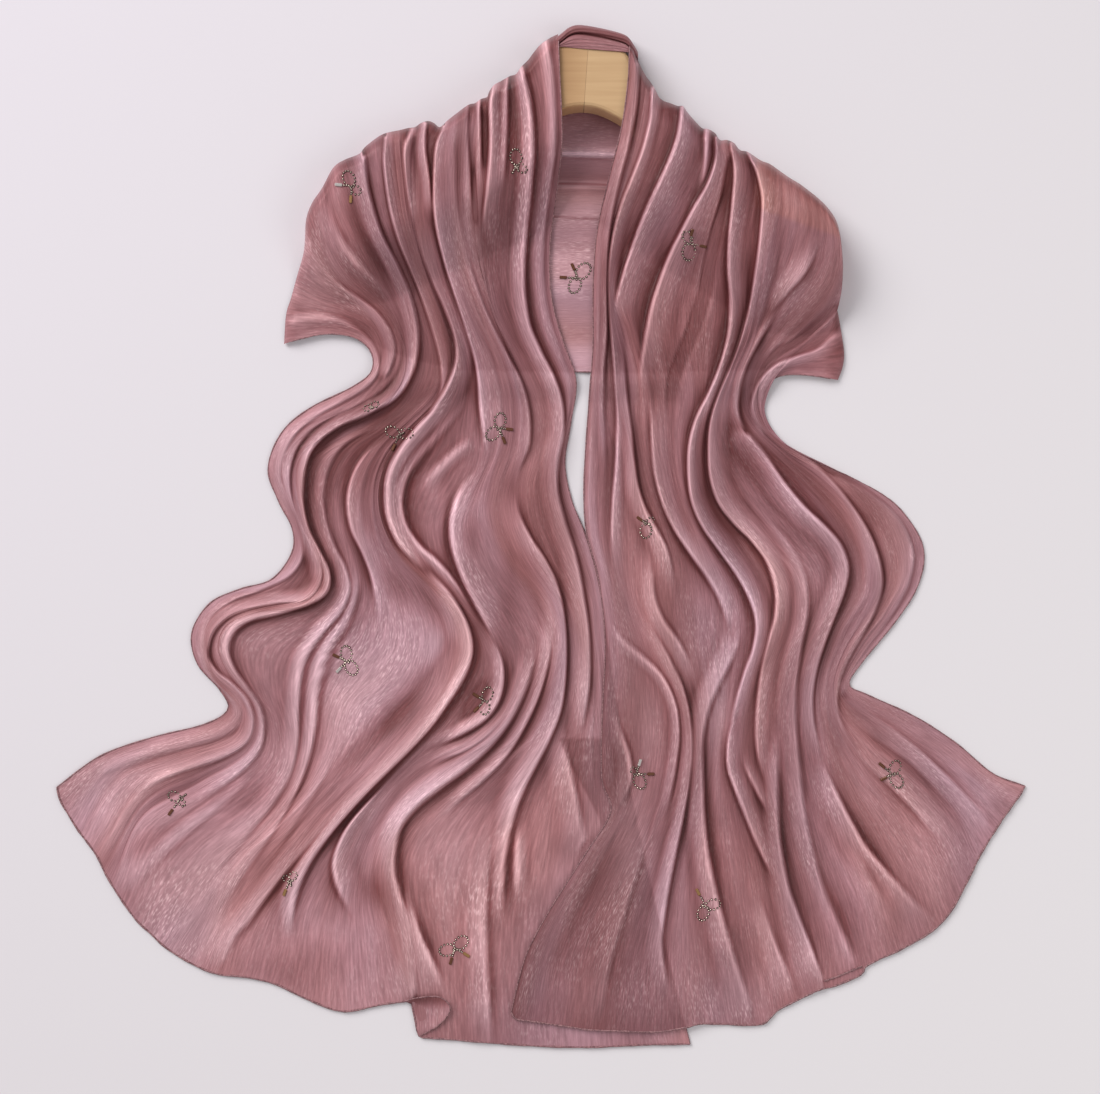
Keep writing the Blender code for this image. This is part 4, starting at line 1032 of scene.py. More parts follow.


# Painted highlight and shade at the edges: times of smoothing, the height that goes from
# middle to full tone, and the shares of the painted highlight line and of the painted shade
# at its foot
RIM_TIMES = 3
RIM_HEIGHT = 1.4 * MM
RIM_LINE = 0.31
RIM_SHADE = 0.17


def edge_light_tone(wave, bright, shade):
    """Painted highlight above 0.5 on the crest and edge of a fold, and painted shade below it
    at its foot and in hollows.
    """
    edge = 0.5 + (wave - soften(wave, RIM_TIMES)) / RIM_HEIGHT
    return np.clip(edge + (RIM_LINE * bright - RIM_SHADE * shade), 0.0, 1.0)


# Tone of the layers: the spans in pixels in which a row counts as gathered, in which that
# begins at a side and in which the back hem shows, and the share of each cause
GATHER_TIMES = 3
GATHER_WIDTHS = (250.0, 560.0)
GATHER_SIDE = (0.0, 10.0)
BEHIND_EDGE = (-0.8, 0.8)
GATHER_TONE = 0.37
DOUBLED_TONE = 0.76
BEHIND_TONE = 0.22
LIGHT_LAYERS = 0.85


def layer_tone(spots, light, to_side, row_width, doubled):
    """How much cloth lies in layers: gathered, doubled or over the back stretch."""
    gather = 1.0 - smooth(*GATHER_WIDTHS, soften(row_width, GATHER_TIMES))
    gather = gather * smooth(*GATHER_SIDE, to_side)
    # The painted light places also lessen the darker tone of gathered cloth
    gather = gather * (1.0 - LIGHT_LAYERS * np.maximum(light, 0.0))
    past_hem = spots[..., 1] - HEM_BEHIND.down_at(spots[..., 0])
    behind = 1.0 - smooth(*BEHIND_EDGE, past_hem)
    return GATHER_TONE * gather + DOUBLED_TONE * doubled(spots) + BEHIND_TONE * behind


# How far from the shoulder and the hem the rows bend onto the outline, in pixels, how the
# folds calm down near a side and near the hem, and how high the small ones ride
SHOULDER_RUN = 55.0
HEM_RUN = 70.0
SIDE_CALM = 0.25
SIDE_CALM_RUN = 16.0
HEM_CALM = 0.35
HEM_CALM_RUN = 40.0
RIPPLE_SCALE = 0.65
RIPPLE_LIFT = 1.2 * MM


def front_points(guides, creases, shoulder, hem, rest, limit, small_folds, doubled):
    """The places of a front's sheet, its map in metres and its tones."""
    guides = list(guides.values())
    spots, part, guide_at, routes = guide_rows(guides)
    spots = keep_outline(spots, guides, guide_at, shoulder, part, 0, SHOULDER_RUN)
    spots = keep_outline(spots, guides, guide_at, hem, part, -1, HEM_RUN)
    to_side, from_turn, to_hem, row_width = sheet_runs(spots)
    across = (guide_at / (len(guides) - 1) * MAP_WIDE)[None] + 0.0 * part[:, None]
    along = part[:, None] * MAP_LONG + 0.0 * across
    outline = np.concatenate([Route(shoulder).line, Route(hem).line, routes[0].line,
                              routes[-1].line])
    relief, bright, shade = crease_relief(spots, creases, outline)
    small = ripple(across, along, small_folds)
    calm = SIDE_CALM + (1.0 - SIDE_CALM) * smooth(0.0, SIDE_CALM_RUN, to_side)
    hem_calm = HEM_CALM + (1.0 - HEM_CALM) * smooth(0.0, HEM_CALM_RUN, to_hem)
    wave = np.clip(soften(relief, 1) + RIPPLE_SCALE * small + RIPPLE_LIFT, 0.0, None)
    wave = np.minimum(wave * calm * hem_calm, limit(spots))
    rise = quarter(from_turn * PIXEL / ROLL_RADIUS)
    base = np.maximum(tent(spots), rest(spots) + SLEEVE_PUFF * on_back(spots))
    low = seam(spots) + SEAM_GAP
    places = place(spots[..., 0], spots[..., 1], low + (base + WALL + wave - low) * rise)
    light = light_places(spots)
    tones = (fold_shade_tone(wave, shade * calm, light, from_turn),
             layer_tone(spots, light, to_side, row_width, doubled),
             edge_light_tone(wave, bright * calm, shade * calm), over_wood(spots))
    return spots, places, across * PIXEL, along * PIXEL, tones


def built_mesh(name, builder):
    """The mesh that a builder holds. It frees the builder."""
    mesh = bpy.data.meshes.new(name)
    builder.to_mesh(mesh)
    builder.free()
    return mesh


def new_object(name, contents):
    """An object that is in the scene."""
    made = bpy.data.objects.new(name, contents)
    bpy.context.scene.collection.objects.link(made)
    return made


def sheet_object(name, places, across_m, along_m, material, tones):
    """A sheet: a grid whose points are moved to their places, with a map in metres and
    its tones of depth, layers and edges. The tone of wood may follow."""
    rows, columns = places.shape[0] - 1, places.shape[1] - 1
    builder = bmesh.new()
    bmesh.ops.create_grid(builder, x_segments=columns, y_segments=rows, size=0.5)
    mesh = built_mesh(name, builder)
    flat = np.empty(len(mesh.vertices) * 3)
    mesh.vertices.foreach_get("co", flat)
    flat = flat.reshape(-1, 3)
    column = np.rint((flat[:, 0] + 0.5) * columns).astype(int)
    row = np.rint((flat[:, 1] + 0.5) * rows).astype(int)
    mesh.vertices.foreach_set("co", places[row, column].ravel())
    mesh.update()
    corner = np.empty(len(mesh.loops), dtype=int)
    mesh.loops.foreach_get("vertex_index", corner)
    cloth_map = np.stack([across_m[row, column], along_m[row, column]], -1)
    layer = mesh.uv_layers.new(name="cloth")
    layer.data.foreach_set("uv", cloth_map[corner].ravel())
    colours = np.ones((len(mesh.vertices), 4))
    for channel, values in enumerate(tones[:3]):
        spread = values + np.zeros(places.shape[:2])
        colours[:, channel] = spread[row, column]
    for values in tones[3:]:
        under = mesh.attributes.new(name="wood", type="FLOAT", domain="POINT")
        under.data.foreach_set("value", values[row, column].ravel())
    shade = mesh.color_attributes.new(name="shade", type="FLOAT_COLOR", domain="POINT")
    shade.data.foreach_set("color", colours.ravel())
    facing = np.empty(len(mesh.polygons) * 3)
    mesh.polygons.foreach_get("normal", facing)
    if facing.reshape(-1, 3)[:, 2].mean() < 0:
        mesh.flip_normals()
    mesh.shade_smooth()
    mesh.materials.append(material)
    return new_object(name, mesh)


def new_material(name):
    """A material with its nodes, its links and its shader."""
    material = bpy.data.materials.new(name)
    material.use_nodes = True
    nodes = material.node_tree.nodes
    return material, nodes, material.node_tree.links, nodes["Principled BSDF"]


def ramp_node(nodes, links, source, stops):
    """The colour that a ramp has at a value."""
    ramp = nodes.new("ShaderNodeValToRGB")
    elements = ramp.color_ramp.elements
    while len(elements) < len(stops):
        elements.new(0.5)
    for element, (position, colour) in zip(elements, stops):
        element.position = position
        element.color = (*colour, 1.0)
    links.new(source, ramp.inputs["Fac"])
    return ramp.outputs["Color"]


def noise_node(nodes, links, source, scale, detail):
    """Noise over a map, with its own scale each way."""
    mapping = nodes.new("ShaderNodeMapping")
    mapping.inputs["Scale"].default_value = scale
    links.new(source, mapping.inputs["Vector"])
    noise = nodes.new("ShaderNodeTexNoise")
    noise.inputs["Scale"].default_value = 1.0
    noise.inputs["Detail"].default_value = detail
    links.new(mapping.outputs["Vector"], noise.inputs["Vector"])
    return noise.outputs["Fac"]


def span_node(nodes, links, source, low, high):
    """The share of the way that a value has gone from low to high."""
    span = nodes.new("ShaderNodeMapRange")
    span.inputs["From Min"].default_value = low
    span.inputs["From Max"].default_value = high
    links.new(source, span.inputs["Value"])
    return span.outputs["Result"]


def mix_node(nodes, links, how, first, second, factor):
    """A mix of two colours. Each input is a socket or a plain value."""
    mix = nodes.new("ShaderNodeMix")
    mix.data_type = "RGBA"
    mix.blend_type = how
    for slot, value in (("Factor", factor), ("A", first), ("B", second)):
        place_in = [item for item in mix.inputs if item.name == slot and item.enabled][0]
        if isinstance(value, (int, float, tuple)):
            place_in.default_value = value
        else:
            links.new(value, place_in)
    return [item for item in mix.outputs if item.enabled][0]


def toned(nodes, links, base, source, stops, factor=1.0):
    """A colour times a ramp of colours over a value."""
    ramp = ramp_node(nodes, links, source, stops)
    return mix_node(nodes, links, "MULTIPLY", base, ramp, factor)


# Ramps of the shimmer cloth: a value from 0 to 1 and the colour there. The first one gives
# the colour by depth in the folds, with painted shade in the troughs and painted highlight
# on the crests, and each of the others multiplies it. The rim ramp paints the highlight
# line and the shade at the edges, the sheen ramp paints soft patches of sheen, and the
# spark, patch and raised ramps paint glints on raised cloth.
FOLD_SHADE_STOPS = (
    (0.0, (0.485, 0.262, 0.279)), (0.38, (0.402, 0.197, 0.211)),
    (0.62, (0.325, 0.136, 0.144)), (1.0, (0.146, 0.037, 0.037)),
)
TINT_STOPS = ((0.36, (1.0, 0.90, 0.88)), (0.64, (0.97, 0.99, 1.08)))
LAYER_STOPS = (
    (0.0, (1.27, 1.42, 1.42)), (0.45, (0.90, 0.87, 0.87)), (0.62, (0.80, 0.76, 0.76)),
    (1.0, (0.62, 0.57, 0.57)),
)
RIM_LIGHT_STOPS = (
    (0.10, (0.64, 0.45, 0.455)), (0.42, (1.0, 1.0, 1.0)), (0.60, (1.0, 1.0, 1.0)),
    (0.95, (1.50, 1.62, 1.60)),
)
STREAK_STOPS = ((0.30, (0.74, 0.72, 0.72)), (0.50, (1.0, 1.0, 1.0)), (0.74, (1.42, 1.46, 1.46)))
SHEEN_STOPS = ((0.36, (0.84, 0.80, 0.80)), (0.50, (1.0, 1.0, 1.0)), (0.66, (1.20, 1.25, 1.25)))
SPARK_STOPS = ((0.50, (0.0, 0.0, 0.0)), (0.74, (1.0, 1.0, 1.0)))
PATCH_STOPS = ((0.42, (0.10, 0.10, 0.10)), (0.62, (1.0, 1.0, 1.0)))
RAISED_STOPS = ((0.30, (1.0, 1.0, 1.0)), (0.66, (0.16, 0.16, 0.16)))
WOOD_TINT = (1.17, 1.12, 0.98, 1.0)
SPARK_TINT = (0.40, 0.31, 0.31, 1.0)

# How opaque the cloth is where one layer and where more layers lie, and how strongly its
# streaks show
THIN_ALPHA = 0.93
NECK_ALPHA = 0.97
CURL_ALPHA = 1.0
STREAKS = 0.72
BACK_STREAKS = 0.35

# Patterns of the shimmer cloth over its map: waves to a metre across and along, detail
TINT_NOISE = ((16.0, 3.2, 1.0), 2.0)
STREAK_NOISE = ((1150.0, 42.0, 1.0), 3.0)
SHEEN_NOISE = ((26.0, 6.5, 1.0), 1.0)
SPARK_NOISE = ((1900.0, 150.0, 1.0), 1.0)
PATCH_NOISE = ((40.0, 11.0, 1.0), 3.0)
CLOTH_GLOSS = (
    ("Roughness", 0.50), ("Metallic", 0.12), ("Specular IOR Level", 0.28),
    ("Sheen Weight", 0.12), ("Sheen Roughness", 0.35), ("Sheen Tint", (1.0, 0.74, 0.78, 1.0)),
)


def cloth_sparks(nodes, links, cloth_map, depth):
    """The colour of small glints, which come in patches and on raised cloth."""
    grain = noise_node(nodes, links, cloth_map, *SPARK_NOISE)
    patches = noise_node(nodes, links, cloth_map, *PATCH_NOISE)
    sparks = ramp_node(nodes, links, grain, SPARK_STOPS)
    lit = ramp_node(nodes, links, patches, PATCH_STOPS)
    lit = toned(nodes, links, lit, depth, RAISED_STOPS)
    glint = mix_node(nodes, links, "MULTIPLY", sparks, lit, 1.0)
    return mix_node(nodes, links, "MULTIPLY", glint, SPARK_TINT, 1.0)


def cloth_material(name, alpha, streaky=STREAKS):
    """Shimmer cloth: fine streaks along its length and a satin gloss, with painted shade deep
    in its folds, painted highlights on its crests and edges, painted sheen and painted glints.
    """
    material, nodes, links, shader = new_material(name)
    where = nodes.new("ShaderNodeUVMap")
    where.uv_map = "cloth"
    cloth_map = where.outputs["UV"]
    shade = nodes.new("ShaderNodeAttribute")
    shade.attribute_name = "shade"
    tones = nodes.new("ShaderNodeSeparateColor")
    links.new(shade.outputs["Color"], tones.inputs["Color"])
    depth, layers, edge = (tones.outputs[channel] for channel in ("Red", "Green", "Blue"))
    wood = nodes.new("ShaderNodeAttribute")
    wood.attribute_name = "wood"
    tint = noise_node(nodes, links, cloth_map, *TINT_NOISE)
    streaks = noise_node(nodes, links, cloth_map, *STREAK_NOISE)
    sheen = noise_node(nodes, links, cloth_map, *SHEEN_NOISE)
    # Painted shade and highlight by depth, the tint and layers, the wood seen through, painted
    # highlight lines and shade at the edges, streaks, painted sheen and painted glints
    base = ramp_node(nodes, links, depth, FOLD_SHADE_STOPS)
    base = toned(nodes, links, base, tint, TINT_STOPS)
    base = toned(nodes, links, base, layers, LAYER_STOPS)
    base = mix_node(nodes, links, "MULTIPLY", base, WOOD_TINT, wood.outputs["Fac"])
    base = toned(nodes, links, base, edge, RIM_LIGHT_STOPS)
    base = toned(nodes, links, base, streaks, STREAK_STOPS, streaky)
    base = toned(nodes, links, base, sheen, SHEEN_STOPS)
    sparks = cloth_sparks(nodes, links, cloth_map, depth)
    base = mix_node(nodes, links, "ADD", base, sparks, 1.0)
    links.new(base, shader.inputs["Base Color"])
    bump = nodes.new("ShaderNodeBump")
    bump.inputs["Strength"].default_value = 0.5
    bump.inputs["Distance"].default_value = 0.8 * MM
    links.new(streaks, bump.inputs["Height"])
    links.new(bump.outputs["Normal"], shader.inputs["Normal"])
    for quality, value in CLOTH_GLOSS:
        shader.inputs[quality].default_value = value
    shader.inputs["Alpha"].default_value = alpha
    return material


# The small folds of each front: height in mm, wave and drift in pixels, phase
LEFT_RIPPLES = (
    (1.2, 47.0, 190.0, 0.9), (0.45, 19.0, 120.0, 0.4), (0.25, 9.5, 90.0, 2.1),
    (0.14, 5.3, 60.0, 4.0),
)
RIGHT_RIPPLES = (
    (1.2, 52.0, 180.0, 2.4), (0.45, 20.5, 110.0, 1.3), (0.25, 10.1, 95.0, 0.2),
    (0.14, 5.9, 64.0, 5.2),
)


def front_cloth(name, *front):
    """The sheet of one front, with its points in pixels and in metres."""
    spots, places, across_m, along_m, tones = front_points(*front)
    material = cloth_material(name + " shimmer", THIN_ALPHA)
    piece = sheet_object(name, places, across_m, along_m, material, tones)
    return piece, spots, places


def left_cloth():
    """The left front, which lies under the right one at the middle."""
    return front_cloth("left_front_cloth", LEFT_GUIDES, LEFT_CREASES, LEFT_SHOULDER, LEFT_HEM,
                       left_rest, left_limit, LEFT_RIPPLES, under_left)


def right_cloth():
    """The right front, which laps over the left one."""
    return front_cloth("right_front_cloth", RIGHT_GUIDES, RIGHT_CREASES, RIGHT_SHOULDER,
                       RIGHT_HEM, right_rest, right_limit, RIGHT_RIPPLES, under_right)


# The turn of the back stretch at the neck, the sides of the gap in which it shows, its
# lean there, how its rows are bunched toward the turn, its plain tone, and how softly its
# bands of painted shade begin and end
BACK_NECK = ((545, 54), (590, 53), (630, 56))
SHOWN_LEFT = (545.0, 570.0)
SHOWN_RIGHT = (615.0, 640.0)
BACK_LEAN = 0.03
BACK_BUNCH = 1.3
BACK_DEPTH = 0.36
BAND_SOFT = 3.0
BACK_CREASES = (
    # level in pixels, half width in pixels, height in mm
    (153.0, 5.0, 2.4), (186.0, 4.0, 2.0), (217.0, 3.0, 1.2), (370.0, 3.0, 0.5),
)
# Bands of painted shade between the creases of the back stretch
BACK_SHADE_BANDS = (
    # start and end in pixels, how dark the painted shade is
    (112.0, 148.0, 0.20), (158.0, 181.0, 0.40), (188.0, 196.0, 0.16),
)
# Painted highlight and shade lines along the creases of the back stretch
BACK_LIGHT_LINES = (
    # level and half width in pixels, tone: above nought a painted highlight, below it painted shade
    (154.0, 1.6, 0.5), (158.5, 1.3, -0.4), (184.5, 1.6, -0.5), (188.0, 1.5, 0.4),
    (218.5, 1.4, -0.6), (220.5, 1.4, 0.3), (368.0, 1.4, -0.3),
)


def back_cloth():
    """The stretch behind the hanger, with its creases across the gap at the neck and painted
    shade and highlight along them.
    """
    turn, hem = Route(LEFT_SHOULDER[:-3] + BACK_NECK + RIGHT_SHOULDER[3:]), Route(BACK_HEM)
    share = np.linspace(0.0, 1.0, BACK_COLUMNS + 1)
    part = np.linspace(0.0, 1.0, BACK_ROWS + 1) ** BACK_BUNCH
    tops, ends = turn.at(share), hem.at(share)
    span = np.linalg.norm(ends - tops, axis=1)
    inset = (2.0 * WALL + NECK_INSET * near_neck(tops, NECK_MARGIN)) / PIXEL / span
    way = inset[None] + (1 - inset[None]) * part[:, None]
    spots = tops[None] * (1 - way)[..., None] + ends[None] * way[..., None]
    run = part[:, None] * span[None] * PIXEL
    edge = seam(tops, NECK_MARGIN) - SEAM_GAP
    drop = 1.0 - quarter(run / BACK_ROLL)
    level = WALL + (edge[None] - WALL) * drop
    across, down = spots[..., 0], spots[..., 1]
    shown = smooth(*SHOWN_LEFT, across) * (1.0 - smooth(*SHOWN_RIGHT, across))
    tilt = (across - HANGER_MID[0]) * BACK_LEAN
    for at, wide, tall in BACK_CREASES:
        level = level + tall * MM * np.exp(-((down - at - tilt) / wide) ** 2) * shown
    depth = np.full(level.shape, BACK_DEPTH)
    for start, end, dark in BACK_SHADE_BANDS:
        begun = smooth(start - BAND_SOFT, start + BAND_SOFT, down - tilt)
        depth = depth + dark * begun * (1.0 - smooth(end - BAND_SOFT, end + BAND_SOFT, down - tilt))
    lines = np.full(level.shape, 0.5)
    for at, wide, tone in BACK_LIGHT_LINES:
        lines = lines + tone * np.exp(-((down - at - tilt) / wide) ** 2)
    places = place(across, down, level)
    material = cloth_material("back shimmer", THIN_ALPHA, BACK_STREAKS)
    piece = sheet_object("back_cloth", places, down * PIXEL, across * PIXEL, material,
                         (depth, 0.0, np.clip(lines, 0.0, 1.0)))
    return piece, spots, places


# The roll at the neck: the line of its top in pixels, and its section
NECK_ARCH = (
    (550, 44), (556, 38), (562, 33), (570, 27), (580, 25), (600, 28), (620, 33), (628, 37),
    (634, 45), (638, 52),
)
NECK_SECTION = (
    # pixels below the top of the roll, height in mm
    (22.5, 31.9), (21.8, 32.6), (18.0, 32.4), (14.0, 32.3), (11.5, 31.4), (10.0, 29.0),
    (9.2, 26.6), (8.4, 26.0), (7.4, 27.6), (4.0, 29.0), (1.2, 26.0), (0.0, 19.0), (0.8, 11.0),
    (4.0, 5.0), (9.0, 2.4), (14.0, 1.3),
)
NECK_CREASE = 8.8
NECK_EDGE = 22.5
WOOD_EDGE = ((562.0, 47.0), (628.0, 52.5))

# Where the roll begins and ends in pixels across, how low its ends lie and its least
# height, its small waves, the size of its map, the height in mm above which the section
# is its upper side, where its inner side begins below the top, and its crease
NECK_START = (546.0, 557.0)
NECK_END = (630.0, 641.0)
NECK_LOW = 0.72
NECK_LEAST = 1.25 * MM
NECK_WAVE = 0.5 * MM
NECK_WAVES = (1.9, 0.09)
NECK_MAP = 0.09
NECK_UPPER = 20.0
NECK_INNER = (9.0, 10.5)
NECK_FOLD = 1.1
# Painted shade in the crease of the roll, with a dark painted line there, and painted light on its
# inner side, which the roll shades
NECK_TONES = (
    # tone, its change on the inner side and in the crease: depth, layers, edges
    (0.62, -0.30, 0.30), (0.66, -0.20, 0.0), (0.5, 0.0, -0.45),
)


def neck_cloth():
    """The roll of cloth behind the neck of the hanger, with painted shade in its crease and
    painted light on its inner side.
    """
    share = np.linspace(0.0, 1.0, NECK_COLUMNS + 1)
    section = Route(NECK_SECTION).at(np.linspace(0.0, 1.0, NECK_ROWS + 1))
    below, level = section[:, 0], section[:, 1]
    upper = level > NECK_UPPER
    tops = Route(NECK_ARCH).at(share)
    middle = smooth(*NECK_START, tops[:, 0]) * (1.0 - smooth(*NECK_END, tops[:, 0]))
    (left_x, left_y), (right_x, right_y) = WOOD_EDGE
    edge_at = left_y + (tops[:, 0] - left_x) / (right_x - left_x) * (right_y - left_y)
    beyond = np.maximum(below - NECK_CREASE, 0.0) * upper
    reach = np.maximum(edge_at - tops[:, 1] - NECK_CREASE, 2.0) / (NECK_EDGE - NECK_CREASE)
    across = tops[None, :, 0] + 0.0 * below[:, None]
    down = tops[None, :, 1] + (below - beyond)[:, None] + beyond[:, None] * reach[None]
    small = NECK_WAVE * np.sin(below[:, None] * NECK_WAVES[0] + across * NECK_WAVES[1])
    height = level[:, None] * MM * (NECK_LOW + (1.0 - NECK_LOW) * middle[None])
    height = np.maximum(height + small * middle[None], NECK_LEAST)
    across_m = np.linspace(0.0, NECK_MAP, NECK_ROWS + 1)[:, None] + 0.0 * share[None]
    along_m = share[None] * NECK_MAP + 0.0 * across_m
    inner = smooth(*NECK_INNER, below) * upper
    crease = np.exp(-((below - NECK_CREASE) / NECK_FOLD) ** 2) * upper
    tones = [(tone + on_inner * inner + in_crease * crease)[:, None]
             for tone, on_inner, in_crease in NECK_TONES]
    return sheet_object("neck_roll_cloth", place(across, down, height), across_m, along_m,
                        cloth_material("neck shimmer", NECK_ALPHA), tones)


def on_cloth(spots, places, point):
    """The place and the upward direction of a sheet at a point of the view."""
    away = np.abs(spots - np.array(point)).sum(axis=-1)
    i, j = np.unravel_index(np.argmin(away), away.shape)
    i = min(max(i, 2), spots.shape[0] - 3)
    j = min(max(j, 2), spots.shape[1] - 3)
    up = np.cross(places[i, j + 2] - places[i, j - 2], places[i + 2, j] - places[i - 2, j])
    up = up / np.linalg.norm(up)
    if up[2] < 0.0:
        up = -up
    return Vector(place(point[0], point[1], places[i, j, 2])), Vector(up)


# How uneven a hem is: shares of its radius, and turns for each point
HEM_SWELLS = ((0.18, 0.9), (0.12, 2.3))


def hem_tube(name, line, material, radius):
    """A thin rolled hem along a line of places."""
    curve = bpy.data.curves.new(name, "CURVE")
    curve.dimensions = "3D"
    curve.bevel_depth = radius
    curve.bevel_resolution = 1
    curve.use_fill_caps = True
    spline = curve.splines.new("POLY")
    spline.points.add(len(line) - 1)
    for index, (point, spot) in enumerate(zip(spline.points, line)):
        point.co = (*spot, 1.0)
        point.radius = sum((much * math.sin(index * turn) for much, turn in HEM_SWELLS), 1.0)
    drawn = new_object(name + "_line", curve)
    bpy.context.view_layer.update()
    graph = bpy.context.evaluated_depsgraph_get()
    mesh = bpy.data.meshes.new_from_object(drawn.evaluated_get(graph))
    bpy.data.objects.remove(drawn)
    mesh.shade_smooth()
    mesh.materials.clear()
    mesh.materials.append(material)
    piece = new_object(name, mesh)
    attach(piece, "root")


# The thread of the hems: its pattern and its colours
STITCH_NOISE = ((700.0, 700.0, 700.0), 2.0)
STITCH_STOPS = ((0.36, (0.15, 0.065, 0.072)), (0.64, (0.36, 0.18, 0.19)))


def hem_material():
    """Thread over the edge of the cloth, darker than the cloth."""
    material, nodes, links, shader = new_material("overlocked hem")
    where = nodes.new("ShaderNodeTexCoord")
    stitches = noise_node(nodes, links, where.outputs["Object"], *STITCH_NOISE)
    links.new(ramp_node(nodes, links, stitches, STITCH_STOPS), shader.inputs["Base Color"])
    shader.inputs["Roughness"].default_value = 0.6
    return material


END_HEM = 0.85 * MM
SIDE_HEM = 0.55 * MM
HEM_LIFT = 0.3 * MM
SET_STEPS = 40
HEMS = (
    # name, sheet, the row or column of its grid, radius
    ("left_hem", "left", np.s_[-1, ::2], END_HEM),
    ("left_outer_hem", "left", np.s_[10::2, 0], SIDE_HEM),
    ("left_inner_hem", "left", np.s_[8::2, -1], SIDE_HEM),
    ("right_hem", "right", np.s_[-1, ::2], END_HEM),
    ("right_outer_hem", "right", np.s_[10::2, -1], SIDE_HEM),
    ("right_inner_hem", "right", np.s_[8::2, 0], SIDE_HEM),
    ("back_hem", "back", np.s_[-1, ::2], SIDE_HEM),
)
STEPPED_HEM = ((824, 981), (838, 976), (850, 971), (862, 966))


def sew_hems(sheets):
    """The hems along the free edges of the sheets, with one that shows as a step."""
    material = hem_material()
    for name, sheet, edge, radius in HEMS:
        hem_tube(name, sheets[sheet][2][edge], material, radius)
    line = []
    for point in Route(STEPPED_HEM).at(np.linspace(0.0, 1.0, SET_STEPS)):
        spot, up = on_cloth(*sheets["right"][1:], point)
        line.append(spot + up * HEM_LIFT)
    hem_tube("stepped_hem", line, material, END_HEM)
    hem_tube("curl_hem", hem_curl(), material, SIDE_HEM)


# The curl at the corner of the left hem: its rim, from the hem round to the corner, and its
# straight side, in pixels, with the height of the rim in mm
CURL_RIM = (
    (404, 1001.5, 6.0), (412, 999, 6.0), (420, 997.5, 6.2), (430, 996.5, 6.5), (439, 997, 7.0),
    (446, 1001, 7.0), (450, 1007, 6.5), (449, 1013, 5.5), (444, 1020, 4.5), (436, 1027, 3.6),
    (427, 1032, 2.8), (419, 1036.5, 2.0),
)
CURL_SIDE = ((411.5, 1003), (413, 1010), (415, 1020), (417, 1029), (419, 1036.5))

# The height to which the curl sinks inside its rim, where that ends along the rim, how
# far in and how roundly it goes down, its swell, the level span and depth of the painted
# shadow at its top under the upper hem, and its tones of depth, layers and edges
CURL_FLOOR = 1.8 * MM
CURL_CLOSES = (0.55, 0.95)
CURL_SINKS = 0.75
CURL_ROUND = 0.8
CURL_SWELL = 1.0 * MM
CURL_SHADE = (998.0, 1012.0)
CURL_SHADOW = 0.5
CURL_TONES = (0.42, 0.25, 0.5)


def hem_curl():
    """The corner of the left hem, curled under where its pleat ends."""
    share = np.linspace(0.0, 1.0, CURL_COLUMNS + 1)
    run = np.linspace(0.0, 1.0, CURL_ROWS + 1)[:, None]
    rim = np.array(CURL_RIM)
    route = Route(rim[:, :2])
    marks = [route.share_of(point) for point in rim[:, :2]]
    tall = np.interp(share, marks, rim[:, 2]) * MM
    outer = route.at(share)
    inner = Route(CURL_SIDE).at(smooth(0.0, 1.0, share) * 0.5 + 0.5 * share)
    spots = outer[None] + (inner - outer)[None] * run[..., None]
    across, down = spots[..., 0], spots[..., 1]
    sink = (tall - CURL_FLOOR) * (1.0 - smooth(*CURL_CLOSES, share))
    height = tall[None] - sink[None] * smooth(0.0, CURL_SINKS, run) ** CURL_ROUND
    height = height + CURL_SWELL * (1.0 - run) * run
    places = place(across, down, height)
    # Painted shadow: darker at the top of the curl, under the upper hem
    depth = CURL_TONES[0] + CURL_SHADOW * (1.0 - smooth(*CURL_SHADE, down))
    piece = sheet_object("hem_curl", places, across * PIXEL, down * PIXEL,
                         cloth_material("curl shimmer", CURL_ALPHA),
                         (depth, *CURL_TONES[1:]))
    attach(piece, "root")
    return places[0]


# Bows of stones: the sheet each is on, its knot in pixels, and the directions in degrees,
# clockwise from the right, of its two loops and its two tails, with their sizes and the
# kinds of the two bars: smoky, silver or gold, or a dash for none
BOWS = (
    # sheet, knot, loops, loop sizes, tails, tail sizes, bars
    ("left", (455, 948), (166, -42), (1.0, 1.0), (107, 30), (1.0, 1.0), "mg"),
    ("right", (636, 774), (64, 235), (1.0, 0.5), (-72, 0), (0.9, 1.1), "sm"),
    ("left", (347, 661), (-95, 57), (0.95, 1.0), (205, 133), (0.9, 0.9), "ms"),
    ("left", (499, 428), (-81, 138), (0.95, 1.0), (7, 68), (0.8, 1.0), "mm"),
    ("left", (180, 799), (205, 62), (0.8, 0.5), (-38, 125), (0.9, 1.2), "-m"),
    ("right", (892, 774), (-65, 55), (0.9, 1.0), (220, 151), (1.0, 0.7), "mm"),
    ("right", (706, 906), (-12, 111), (0.9, 0.95), (241, 196), (1.2, 0.5), "g-"),
    ("left", (485, 701), (-70, 92), (0.9, 0.85), (212, 135), (0.8, 0.9), "mm"),
    ("left", (352, 186), (-113, 45), (1.0, 0.7), (185, 95), (1.0, 1.0), "sg"),
    ("left", (517, 165), (-97, 34), (1.0, 0.7), (121, 76), (1.1, 0.7), "--"),
    ("right", (690, 243), (-113, 97), (0.8, 1.1), (-80, 13), (0.8, 1.0), "mm"),
    ("back", (578, 278), (-53, 113), (1.1, 1.0), (-114, 182), (0.9, 1.1), "mm"),
    ("left", (290, 880), (-50, 205), (0.6, 0.5), (112, 78), (1.0, 0.7), "g-"),
    ("left", (399, 435), (205, -10), (0.9, 0.9), (113, -28), (1.0, 0.6), "m-"),
    ("right", (647, 523), (98, -34), (0.95, 0.5), (211, 200), (0.6, 0.4), "m-"),
    ("left", (371, 406), (150, -20), (0.5, 0.5), (60, 100), (0.3, 0.3), "--"),
)

